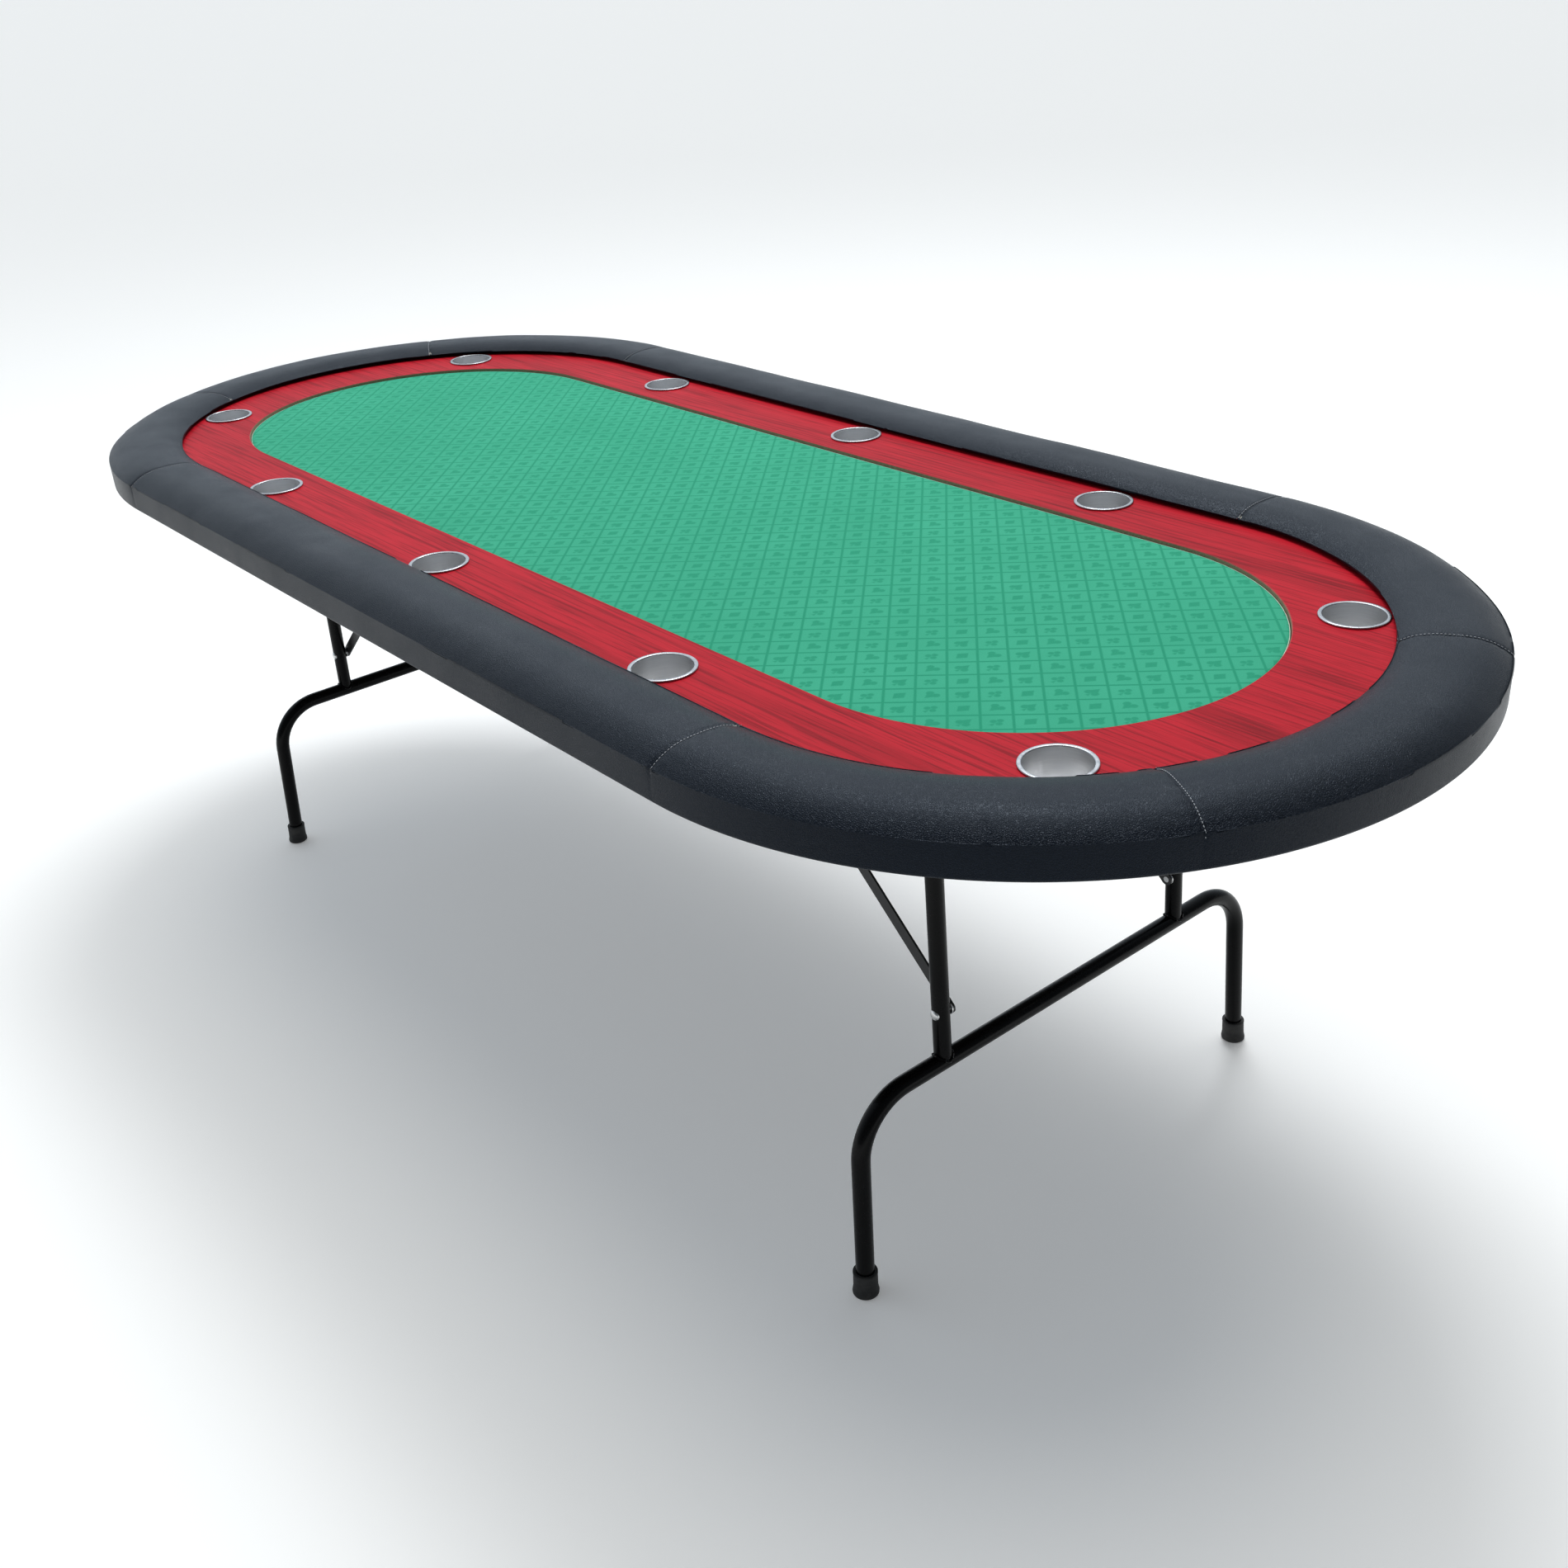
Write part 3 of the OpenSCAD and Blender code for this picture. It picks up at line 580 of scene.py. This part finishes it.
def sweep_strip(bm, section, closed, piece, step=0.005, trim=0.0):
    """Sweeps the section along one of the ring's eight strips."""
    end, start, sweep = STRIPS[piece]
    if sweep is None:
        begin = section_edges(bm, section, closed, (start * (ARC_X - trim), 0, 0), start * math.pi / 2)
        length = 2 * (ARC_X - trim)
        bmesh.ops.spin(bm, geom=begin, axis=(0, 0, 1), angle=0, steps=round(length / step),
                       dvec=(-start * length / round(length / step), 0, 0), use_duplicate=False)
    else:
        centre = (end * ARC_X, 0, 0)
        slack = trim / RAIL_RADIUS
        begin = section_edges(bm, section, closed, centre, start + slack)
        bmesh.ops.spin(bm, geom=begin, cent=centre, axis=(0, 0, 1), angle=sweep - 2 * slack,
                       steps=round(sweep * RAIL_RADIUS / step), use_duplicate=False)


QUARTER = math.pi / 2
STRIPS = {
    "front": (0, -1, None),
    "back": (0, 1, None),
    "right_front": (1, -QUARTER, QUARTER - SEAM_ANGLE),
    "right": (1, -SEAM_ANGLE, 2 * SEAM_ANGLE),
    "right_back": (1, SEAM_ANGLE, QUARTER - SEAM_ANGLE),
    "left_front": (-1, math.pi + SEAM_ANGLE, QUARTER - SEAM_ANGLE),
    "left": (-1, math.pi - SEAM_ANGLE, 2 * SEAM_ANGLE),
    "left_back": (-1, QUARTER, QUARTER - SEAM_ANGLE),
}


def make_rail_foam():
    bm = bmesh.new()
    inset = 0.0042
    section = [(FOOT_RADIUS + inset, TRACK_Z), (FOOT_RADIUS + inset, NOSE_Z)]
    section += [crown_point(step, inset) for step in range(0, CROWN_STEPS + 1, 2)]
    section += [(RAIL_RADIUS - inset, TRACK_Z)]
    for piece in STRIPS:
        sweep_strip(bm, section, True, piece, step=0.02, trim=0.001)
    ends = [edge for edge in bm.edges if edge.is_boundary]
    bmesh.ops.holes_fill(bm, edges=ends)
    bmesh.ops.recalc_face_normals(bm, faces=bm.faces)
    smooth_below(bm, 30)
    foam = new_piece("rail_padding", bm, PAD_FOAM, "table_top", "rail_foam", "rail_foam")


# ---------------------------------------------------------------- rail covers
# Eight pieces of black grained vinyl, pulled tight over the foam and stapled
# under the deck. They meet in sewn seams that pinch the padding a little.

def seam_distance(point):
    """Distance along the ring to the nearest seam."""
    if abs(point.x) <= ARC_X:
        return ARC_X - abs(point.x)
    angle = math.atan2(abs(point.y), abs(point.x) - ARC_X)
    return RAIL_RADIUS * 0.89 * min(abs(angle - SEAM_ANGLE), QUARTER - angle)


def settle(vert, normal, along):
    """Pinch at the seam, small puckers beside it and slow waves in the padding."""
    near = seam_distance(vert.co)
    soft = min(1.0, max(0.0, (vert.co.z - CREASE_Z + 0.014) / 0.018))
    pinch = -0.0013 * math.exp(-(near / 0.0026) ** 2) - 0.0007 * math.exp(-near / 0.018)
    ripple = 0.00022 * math.exp(-near / 0.020) * math.sin(along / 0.0031 + 3 * noise.noise(vert.co * 9))
    wave = 0.0010 * noise.noise(vert.co * 6.0) + 0.00025 * noise.noise(vert.co * 21.0)
    crease = vert.co - Vector((1.0236, -0.4040, RAIL_TOP - 0.002))
    fold = -0.0011 * math.exp(-(crease.dot(Vector((0.55, 0.83, 0))) / 0.0035) ** 2
                              - (crease.dot(Vector((0.83, -0.55, 0))) / 0.020) ** 2)
    vert.co += normal * ((pinch + wave - 0.0006) * (0.25 + 0.75 * soft) + ripple * soft + fold * soft)


def build_pebble_group():
    """Embossed leather grain: small rounded cells between fine creases."""
    group = bpy.data.node_groups.new("pebble_grain", "ShaderNodeTree")
    group.interface.new_socket("Vector", in_out="INPUT", socket_type="NodeSocketVector")
    group.interface.new_socket("Height", in_out="OUTPUT", socket_type="NodeSocketFloat")
    group.interface.new_socket("Wear", in_out="OUTPUT", socket_type="NodeSocketFloat")
    start = group.nodes.new("NodeGroupInput").outputs["Vector"]
    end = group.nodes.new("NodeGroupOutput")
    warp = add(group, "ShaderNodeTexNoise", Vector=start, Scale=260.0, Detail=2.0)
    shifted = add(group, "ShaderNodeVectorMath", {"operation": "MULTIPLY_ADD"}, i0=warp.outputs["Color"],
                  i1=(0.0016, 0.0016, 0.0016), i2=start)
    cells = add(group, "ShaderNodeTexVoronoi", {"feature": "DISTANCE_TO_EDGE"},
                Vector=shifted.outputs[0], Scale=560.0)
    dome = add(group, "ShaderNodeMapRange", {"interpolation_type": "SMOOTHSTEP"},
               Value=cells.outputs["Distance"], From_Min=0.0, From_Max=0.28)
    wear = add(group, "ShaderNodeTexNoise", Vector=start, Scale=11.0, Detail=4.0, Roughness=0.6)
    group.links.new(dome.outputs[0], end.inputs["Height"])
    group.links.new(wear.outputs["Fac"], end.inputs["Wear"])
    return group


def black_vinyl():
    made, tree, shader = new_material("black_vinyl", Roughness=0.42, IOR=1.45)
    shader.inputs["Specular IOR Level"].default_value = 0.2
    # The blue specular tint, and the blue cast of the base colour below, are a painted reflection of a blue
    # sky on the black vinyl.
    shader.inputs["Specular Tint"].default_value = (0.62, 0.78, 1.0, 1)
    grain = add(tree, "ShaderNodeGroup", {"node_tree": build_pebble_group()},
                Vector=object_place(tree)).outputs
    # Base colour follows the grain height: painted shade darkens the creases between the cells, and the cell
    # tops are lighter.
    colour = ramp(tree, grain["Height"], (0.0, 0.0020, 0.0030, 0.0052), (0.8, 0.0060, 0.0088, 0.0155))
    tone = ramp(tree, grain["Wear"], (0.3, 0.75, 0.76, 0.8), (0.7, 1.0, 1.0, 1.0))
    mixed = add(tree, "ShaderNodeMix", {"data_type": "RGBA", "blend_type": "MULTIPLY"}, i0=1.0,
                i6=colour, i7=tone)
    tree.links.new(mixed.outputs[2], shader.inputs["Base Color"])
    rough = add(tree, "ShaderNodeMapRange", Value=grain["Wear"], From_Min=0.3, From_Max=0.7,
                To_Min=0.30, To_Max=0.40)
    tree.links.new(rough.outputs[0], shader.inputs["Roughness"])
    bump(tree, shader, grain["Height"], 0.00028, 0.8)
    return made


BLACK_VINYL = black_vinyl()


def make_cover(piece):
    section = nose_and_side(0.0)
    bm = bmesh.new()
    sweep_strip(bm, section, False, piece)
    bmesh.ops.recalc_face_normals(bm, faces=bm.faces)
    crown = max(bm.faces, key=lambda face: face.calc_center_median().z)
    if crown.normal.z < 0:
        bmesh.ops.reverse_faces(bm, faces=bm.faces)
    bm.normal_update()
    lifted = [(vert, vert.normal.copy()) for vert in bm.verts if vert.co.z > RAIL_BOTTOM + 0.004]
    for vert, normal in lifted:
        centre = Vector((math.copysign(min(abs(vert.co.x), ARC_X), vert.co.x), 0, 0))
        radius = Vector((vert.co.x - centre.x, vert.co.y)).length
        settle(vert, normal, radius - vert.co.z)
    smooth_below(bm, 50)
    cover = new_piece(f"vinyl_{piece}", bm, BLACK_VINYL, "table_top", "rail_vinyl", f"rail_cover_{piece}")
    wall = cover.modifiers.new("vinyl", "SOLIDIFY")
    wall.thickness = 0.0012
    wall.offset = -1


def seam_thread():
    made, tree, shader = new_material("seam_thread", Roughness=0.7)
    ply = add(tree, "ShaderNodeTexWave", {"bands_direction": "DIAGONAL"},
              Vector=object_place(tree), Scale=900.0)
    tree.links.new(ramp(tree, ply.outputs["Fac"], (0.0, 0.40, 0.41, 0.43), (1.0, 0.72, 0.73, 0.76)),
                   shader.inputs["Base Color"])
    return made


def make_stitches():
    """One row of short stitches just beside each seam, from the nose to the skirt."""
    section = [Vector((across, 0, z)) for across, z in nose_and_side(0.0)[4:-6]]
    bm = bmesh.new()
    pitch = 0.0042
    walk, marks = 0.0, []
    for here, there in zip(section, section[1:]):
        length = (there - here).length
        while walk < length:
            marks.append((here.lerp(there, walk / length), (there - here).normalized()))
            walk += pitch
        walk -= length
    for end in (-1, 1):
        for angle in (-QUARTER, -SEAM_ANGLE, SEAM_ANGLE, QUARTER):
            turn = angle if end > 0 else math.pi - angle
            side = Matrix.Translation((end * ARC_X, 0, 0)) @ Matrix.Rotation(turn, 4, "Z")
            for mark, run in marks:
                outward = run.cross(Vector((0, 1, 0)))
                lie = Matrix((run, Vector((0, 1, 0)), outward)).transposed().to_4x4()
                seat = mark + Vector((0, 0.0016, 0)) - outward * 0.0014
                stitch = Matrix.Diagonal((0.0015, 0.00042, 0.00042, 1))
                place = side @ Matrix.Translation(seat) @ lie @ stitch
                bmesh.ops.create_uvsphere(bm, u_segments=6, v_segments=4, radius=1.0,
                                          matrix=place @ Matrix.Rotation(QUARTER, 4, "Y"))
    for face in bm.faces:
        face.smooth = True
    new_piece("seam_stitches", bm, seam_thread(), "table_top", "rail_vinyl")


make_rail_foam()
for one in STRIPS:
    make_cover(one)
make_stitches()


# ---------------------------------------------------------------- cup holders
# Ten drawn steel cups that drop into the racetrack and lift out again. The
# rim is rolled over, the inside is turned, so its brushing runs round.

def brushed_steel():
    made, tree, shader = new_material("brushed_steel", Base_Color=(0.66, 0.655, 0.64, 1), Metallic=1.0)
    shader.inputs["Anisotropic"].default_value = 0.75
    turned = add(tree, "ShaderNodeUVMap", {"uv_map": "turning"}).outputs["UV"]
    lines = add(tree, "ShaderNodeMapping", Vector=turned, Scale=(6.0, 2600.0, 1.0))
    fine = add(tree, "ShaderNodeTexNoise", Vector=lines.outputs["Vector"], Scale=1.0, Detail=3.0)
    smudge = add(tree, "ShaderNodeTexNoise", Vector=object_place(tree), Scale=38.0, Detail=3.0)
    colour = ramp(tree, fine.outputs["Fac"], (0.3, 0.84, 0.84, 0.85), (0.7, 0.98, 0.98, 0.98))
    tree.links.new(colour, shader.inputs["Base Color"])
    rough = add(tree, "ShaderNodeMapRange", Value=smudge.outputs["Fac"], From_Min=0.3, From_Max=0.75,
                To_Min=0.30, To_Max=0.36)
    tree.links.new(rough.outputs[0], shader.inputs["Roughness"])
    along = add(tree, "ShaderNodeTangent", {"direction_type": "UV_MAP", "uv_map": "turning"})
    tree.links.new(along.outputs["Tangent"], shader.inputs["Tangent"])
    bump(tree, shader, fine.outputs["Fac"], 0.00004, 0.5)
    return made


def polished_rim():
    made, tree, shader = new_material("polished_rim", Base_Color=(0.44, 0.44, 0.45, 1),
                                      Metallic=1.0, Roughness=0.3)
    marks = add(tree, "ShaderNodeTexNoise", Vector=object_place(tree), Scale=160.0, Detail=4.0)
    rough = add(tree, "ShaderNodeMapRange", Value=marks.outputs["Fac"], From_Min=0.35, From_Max=0.75,
                To_Min=0.24, To_Max=0.36)
    tree.links.new(rough.outputs[0], shader.inputs["Roughness"])
    return made


def arc_points(centre_r, centre_z, radius, start, end, count):
    return [(centre_r + radius * math.cos(math.radians(start + (end - start) * n / count)),
             centre_z + radius * math.sin(math.radians(start + (end - start) * n / count)))
            for n in range(count + 1)]


def cup_outline(bottom, rim_top, body, rim, wall):
    """Closed half section: up the outside, round the rolled rim, down the inside."""
    fillet = 0.008
    roll = (rim_top - TRACK_Z) / 2
    outside = [(0.00001, bottom)] + arc_points(body - fillet, bottom + fillet, fillet, -90, 0, 8)
    lip = [(body, TRACK_Z - 0.0006), (rim - roll, TRACK_Z)]
    lip += arc_points(rim - roll, TRACK_Z + roll, roll, -90, 90, 10)
    lip += arc_points(body - wall + roll, TRACK_Z + roll, roll, 90, 180, 6)
    inside = arc_points(body - fillet, bottom + fillet, fillet - wall, 0, -90, 8)
    return outside + lip + inside + [(0.00001, bottom + wall)]


def make_cup(number, steel, rim_steel):
    node = f"cup_holder_{number}"
    low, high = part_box(node)
    middle = Vector(((low.x + high.x) / 2, (low.y + high.y) / 2, 0))
    rim = (high.x - low.x) / 2
    outline = cup_outline(low.z, high.z, rim - 0.004, rim, 0.001)
    bm = bmesh.new()
    verts = [bm.verts.new((across, 0, z)) for across, z in outline]
    edges = [bm.edges.new(pair) for pair in zip(verts, verts[1:])]
    bmesh.ops.spin(bm, geom=edges, axis=(0, 0, 1), angle=2 * math.pi, steps=96, use_merge=True,
                   use_duplicate=False)
    bmesh.ops.remove_doubles(bm, verts=bm.verts, dist=0.00002)
    bmesh.ops.recalc_face_normals(bm, faces=bm.faces)
    turning = bm.loops.layers.uv.new("turning")
    for face in bm.faces:
        heading = math.atan2(face.calc_center_median().y, face.calc_center_median().x)
        for loop in face.loops:
            at = loop.vert.co
            angle = heading if at.xy.length < 0.0005 else math.atan2(at.y, at.x)
            angle += 2 * math.pi * round((heading - angle) / (2 * math.pi))
            loop[turning].uv = (angle / (2 * math.pi), at.xy.length + at.z)
        face.material_index = int(face.calc_center_median().z > TRACK_Z + 0.0004)
        face.smooth = True
    bmesh.ops.translate(bm, verts=bm.verts, vec=middle)
    smooth_below(bm, 70)
    cup = new_piece(f"steel_cup_{number}", bm, steel, node, "cup_steel", node)
    cup.data.materials.append(rim_steel)


TURNED_STEEL = brushed_steel()
RIM_STEEL = polished_rim()
for number in range(1, 11):
    make_cup(number, TURNED_STEEL, RIM_STEEL)


# ---------------------------------------------------------------- leg frames
# Two folding frames of round steel tube in gloss black enamel: a bent bow
# that makes both feet and the crossbar, two uprights welded between it and
# the hinge tube, with rubber caps on the feet.

def black_enamel():
    made, tree, shader = new_material("black_enamel", Roughness=0.22, IOR=1.45)
    shader.inputs["Specular IOR Level"].default_value = 0.12
    shader.inputs["Coat Weight"].default_value = 0.04
    shader.inputs["Coat Roughness"].default_value = 0.06
    place = object_place(tree)
    flow = add(tree, "ShaderNodeTexNoise", Vector=place, Scale=90.0, Detail=2.0)
    scuff = add(tree, "ShaderNodeTexNoise", Vector=place, Scale=14.0, Detail=6.0, Roughness=0.7)
    colour = ramp(tree, scuff.outputs["Fac"], (0.60, 0.0016, 0.0016, 0.0018), (0.82, 0.008, 0.008, 0.0085))
    tree.links.new(colour, shader.inputs["Base Color"])
    rough = add(tree, "ShaderNodeMapRange", Value=scuff.outputs["Fac"], From_Min=0.4, From_Max=0.8,
                To_Min=0.20, To_Max=0.42)
    tree.links.new(rough.outputs[0], shader.inputs["Roughness"])
    bump(tree, shader, flow.outputs["Fac"], 0.0002, 0.25)
    return made


def foot_rubber():
    made, tree, shader = new_material("foot_rubber", Roughness=0.72)
    dust = add(tree, "ShaderNodeTexNoise", Vector=object_place(tree), Scale=60.0, Detail=5.0)
    tree.links.new(ramp(tree, dust.outputs["Fac"], (0.45, 0.012, 0.012, 0.012), (0.8, 0.045, 0.043, 0.040)),
                   shader.inputs["Base Color"])
    bump(tree, shader, dust.outputs["Fac"], 0.0004, 0.4)
    return made


def bright_zinc():
    made, tree, shader = new_material("bright_zinc", Base_Color=(0.60, 0.61, 0.62, 1),
                                      Metallic=1.0, Roughness=0.28)
    spangle = add(tree, "ShaderNodeTexVoronoi", Vector=object_place(tree), Scale=420.0)
    tree.links.new(ramp(tree, spangle.outputs["Distance"], (0.0, 0.50, 0.51, 0.53), (0.6, 0.68, 0.68, 0.67)),
                   shader.inputs["Base Color"])
    return made


ENAMEL = black_enamel()
RUBBER = foot_rubber()
ZINC = bright_zinc()
TUBE_RADIUS = 0.0115
UPRIGHT_RADIUS = 0.011
TUBE_WALL = 0.0015
BEND_RADIUS = 0.075
FOOT_SPLAY = 2.25


def rounded_path(corners, radius, count=14):
    """Straight runs between the corners, with each inner corner turned on an arc."""
    path = [corners[0]]
    for before, corner, after in zip(corners, corners[1:], corners[2:]):
        come, go = (corner - before).normalized(), (after - corner).normalized()
        turn = come.angle(go)
        start = corner - come * radius * math.tan(turn / 2)
        centre = start + (go - come * come.dot(go)).normalized() * radius
        axis = come.cross(go)
        path += [centre + Matrix.Rotation(turn * n / count, 3, axis) @ (start - centre)
                 for n in range(count + 1)]
    return path + [corners[-1]]


def sweep_tube(bm, path, radius, segments=40, ends=True):
    """Round tube along a path, with or without closed ends."""
    rings = []
    aims = [(there - here).normalized() for here, there in zip(path, path[1:])]
    for number, place in enumerate(path):
        aim = aims[min(number, len(aims) - 1)] + aims[max(number - 1, 0)]
        side = aim.cross(SWEEP_SIDE).normalized()
        frame_of = Matrix((side, aim.normalized().cross(side), aim.normalized())).transposed().to_4x4()
        verts = bmesh.ops.create_circle(bm, segments=segments, radius=radius,
                                        matrix=Matrix.Translation(place) @ frame_of)["verts"]
        rings.append(list({edge for vert in verts for edge in vert.link_edges}))
    for low, high in zip(rings, rings[1:]):
        bmesh.ops.bridge_loops(bm, edges=low + high)
    if ends:
        bmesh.ops.contextual_create(bm, geom=rings[0])
        bmesh.ops.contextual_create(bm, geom=rings[-1])


SWEEP_SIDE = Vector((1, 0, 0.0374))


def finish_bm(bm, degrees=40):
    bmesh.ops.recalc_face_normals(bm, faces=bm.faces)
    smooth_below(bm, degrees)


def add_wall(piece, thickness):
    wall = piece.modifiers.new("wall", "SOLIDIFY")
    wall.thickness = thickness
    wall.offset = -1


def weld_bead(bm, foot, up, radius, seat):
    """A lumpy bead round an upright where it is coped onto a tube along Y."""
    across = Vector((0, 1, 0)).cross(up).normalized()
    count = 48
    rings = []
    for number in range(count):
        angle = 2 * math.pi * number / count
        out = across * math.cos(angle) + Vector((0, 1, 0)) * math.sin(angle)
        rise = math.sqrt(max(seat ** 2 - (radius * math.cos(angle)) ** 2, 0))
        place = foot + out * (radius + 0.0004) + up * (rise + 0.0004)
        size = 0.0019 + 0.0004 * math.sin(number * 2.6) + 0.0003 * noise.noise(place * 900)
        run = (-across * math.sin(angle) + Vector((0, 1, 0)) * math.cos(angle)).normalized()
        lie = Matrix((out, run.cross(out), run)).transposed().to_4x4()
        verts = bmesh.ops.create_circle(bm, segments=8, radius=size,
                                        matrix=Matrix.Translation(place) @ lie)["verts"]
        rings.append(list({edge for vert in verts for edge in vert.link_edges}))
    for low, high in zip(rings, rings[1:] + rings[:1]):
        bmesh.ops.bridge_loops(bm, edges=low + high)


def make_leg(side):
    body = f"leg_{side}"
    pivot = Vector((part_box(f"hinge_tube_{side}")[0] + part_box(f"hinge_tube_{side}")[1])) / 2
    foot_x = sum(end.x for end in (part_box(f"foot_cap_{side}_front"))) / 2
    foot_y = (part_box(f"foot_cap_{side}_back")[0].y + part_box(f"foot_cap_{side}_back")[1].y) / 2
    bar_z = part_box(f"leg_bow_{side}")[1].z - TUBE_RADIUS

    def on_plane(y, z):
        return Vector((foot_x + (pivot.x - foot_x) * z / pivot.z, y, z))

    splay = math.tan(math.radians(FOOT_SPLAY))
    corners = [on_plane(end * (foot_y - rise * splay), rise)
               for end, rise in ((-1, 0.005), (-1, bar_z), (1, bar_z), (1, 0.005))]
    bm = bmesh.new()
    sweep_tube(bm, rounded_path(corners, BEND_RADIUS), TUBE_RADIUS, ends=False)
    finish_bm(bm)
    add_wall(new_piece(f"bow_{side}", bm, ENAMEL, body, "black_tube", f"leg_bow_{side}"), TUBE_WALL)

    bm = bmesh.new()
    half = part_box(f"hinge_tube_{side}")[1].y
    ends = [Vector((pivot.x, -half, pivot.z)), Vector((pivot.x, half, pivot.z))]
    sweep_tube(bm, ends, TUBE_RADIUS, ends=False)
    finish_bm(bm)
    bar = new_piece(f"hinge_bar_{side}", bm, ENAMEL, body, "black_tube", f"hinge_tube_{side}")
    add_wall(bar, TUBE_WALL)

    for end, at in (("front", -1), ("back", 1)):
        node = f"upright_{side}_{end}"
        y = (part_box(node)[0].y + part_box(node)[1].y) / 2
        low, high = on_plane(y, bar_z), on_plane(y, pivot.z)
        rise = (high - low).normalized()
        bm = bmesh.new()
        sweep_tube(bm, [low + rise * 0.003, high - rise * 0.003], UPRIGHT_RADIUS)
        weld_bead(bm, low, rise, UPRIGHT_RADIUS, TUBE_RADIUS)
        weld_bead(bm, high, -rise, UPRIGHT_RADIUS, TUBE_RADIUS)
        finish_bm(bm)
        new_piece(f"post_{side}_{end}", bm, ENAMEL, body, "black_tube", node)

        node = f"foot_cap_{side}_{end}"
        toe = on_plane(at * foot_y, 0.0)
        up = (on_plane(at * (foot_y - 0.1 * splay), 0.1) - toe).normalized()
        bm = bmesh.new()
        outline = [(0.00001, 0.0), (0.0146, 0.0), (0.0162, 0.0014), (0.0165, 0.0040), (0.0158, 0.0075),
                   (0.0152, 0.0110), (0.0150, 0.0290), (0.0153, 0.0300), (0.0153, 0.0322), (0.0148, 0.0330),
                   (0.0117, 0.0330), (0.0116, 0.0310)]
        verts = [bm.verts.new((across, 0, z)) for across, z in outline]
        edges = [bm.edges.new(pair) for pair in zip(verts, verts[1:])]
        bmesh.ops.spin(bm, geom=edges, axis=(0, 0, 1), angle=2 * math.pi, steps=48, use_merge=True,
                       use_duplicate=False)
        bmesh.ops.remove_doubles(bm, verts=bm.verts, dist=0.00002)
        for vert in bm.verts:
            level = vert.co.z
            lean = Vector((up.x, up.y, 0)) / up.z * level
            vert.co += toe + lean
        finish_bm(bm, 55)
        new_piece(f"rubber_cap_{side}_{end}", bm, RUBBER, body, "foot_rubber", node)


for side in ("right", "left"):
    make_leg(side)


# ---------------------------------------------------------------- stays and hardware
# Flat steel stays with rounded ends fold at an opened knuckle. Brackets are
# pressed black plate, rivets, pins, screws and bolts are bright zinc.

def black_plate():
    made, tree, shader = new_material("black_plate", Roughness=0.4, IOR=1.5)
    scuff = add(tree, "ShaderNodeTexNoise", Vector=object_place(tree), Scale=45.0, Detail=6.0,
                Roughness=0.7)
    colour = ramp(tree, scuff.outputs["Fac"], (0.58, 0.006, 0.006, 0.0065), (0.80, 0.035, 0.035, 0.036))
    tree.links.new(colour, shader.inputs["Base Color"])
    rough = add(tree, "ShaderNodeMapRange", Value=scuff.outputs["Fac"], From_Min=0.4, From_Max=0.8,
                To_Min=0.32, To_Max=0.55)
    tree.links.new(rough.outputs[0], shader.inputs["Roughness"])
    bump(tree, shader, scuff.outputs["Fac"], 0.0002, 0.3)
    return made


def make_rivets(side):
    """A domed head on the outer face of each upright, its shank and a washer inside."""
    node = f"leg_rivets_{side}"
    low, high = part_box(node)
    middle = Vector(((low.x + high.x) / 2, 0, (low.z + high.z) / 2))
    bm = bmesh.new()
    for end in (-1, 1):
        outline = [(0.00001, 0.2280), (0.0020, 0.2279), (0.0040, 0.2275), (0.0055, 0.2268), (0.0064, 0.2257),
                   (0.0066, 0.2246), (0.0066, 0.2235), (0.0041, 0.2235), (0.0041, 0.2038), (0.0078, 0.2038),
                   (0.0080, 0.2036), (0.0080, 0.2019), (0.0078, 0.2017), (0.0041, 0.2017), (0.0040, 0.1985),
                   (0.00001, 0.1985)]
        verts = [bm.verts.new((across, end * y, 0)) for across, y in outline]
        edges = [bm.edges.new(pair) for pair in zip(verts, verts[1:])]
        bmesh.ops.spin(bm, geom=edges, axis=(0, 1, 0), angle=2 * math.pi, steps=32, use_merge=True,
                       use_duplicate=False)
    bmesh.ops.remove_doubles(bm, verts=bm.verts, dist=0.00002)
    bmesh.ops.translate(bm, verts=bm.verts, vec=middle)
    finish_bm(bm, 45)
    new_piece(f"rivets_{side}", bm, ZINC, f"leg_{side}", "zinc_steel", node)


for side in ("right", "left"):
    make_rivets(side)
paint_node(["rail_bolts", "rail_t_nuts", "bracket_screws", "stay_pins"], ZINC)
PLATE_NODES = ("stay_bracket", "pivot_bracket", "stay_lower", "stay_upper")
paint_node([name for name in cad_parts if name.startswith(PLATE_NODES)], black_plate())
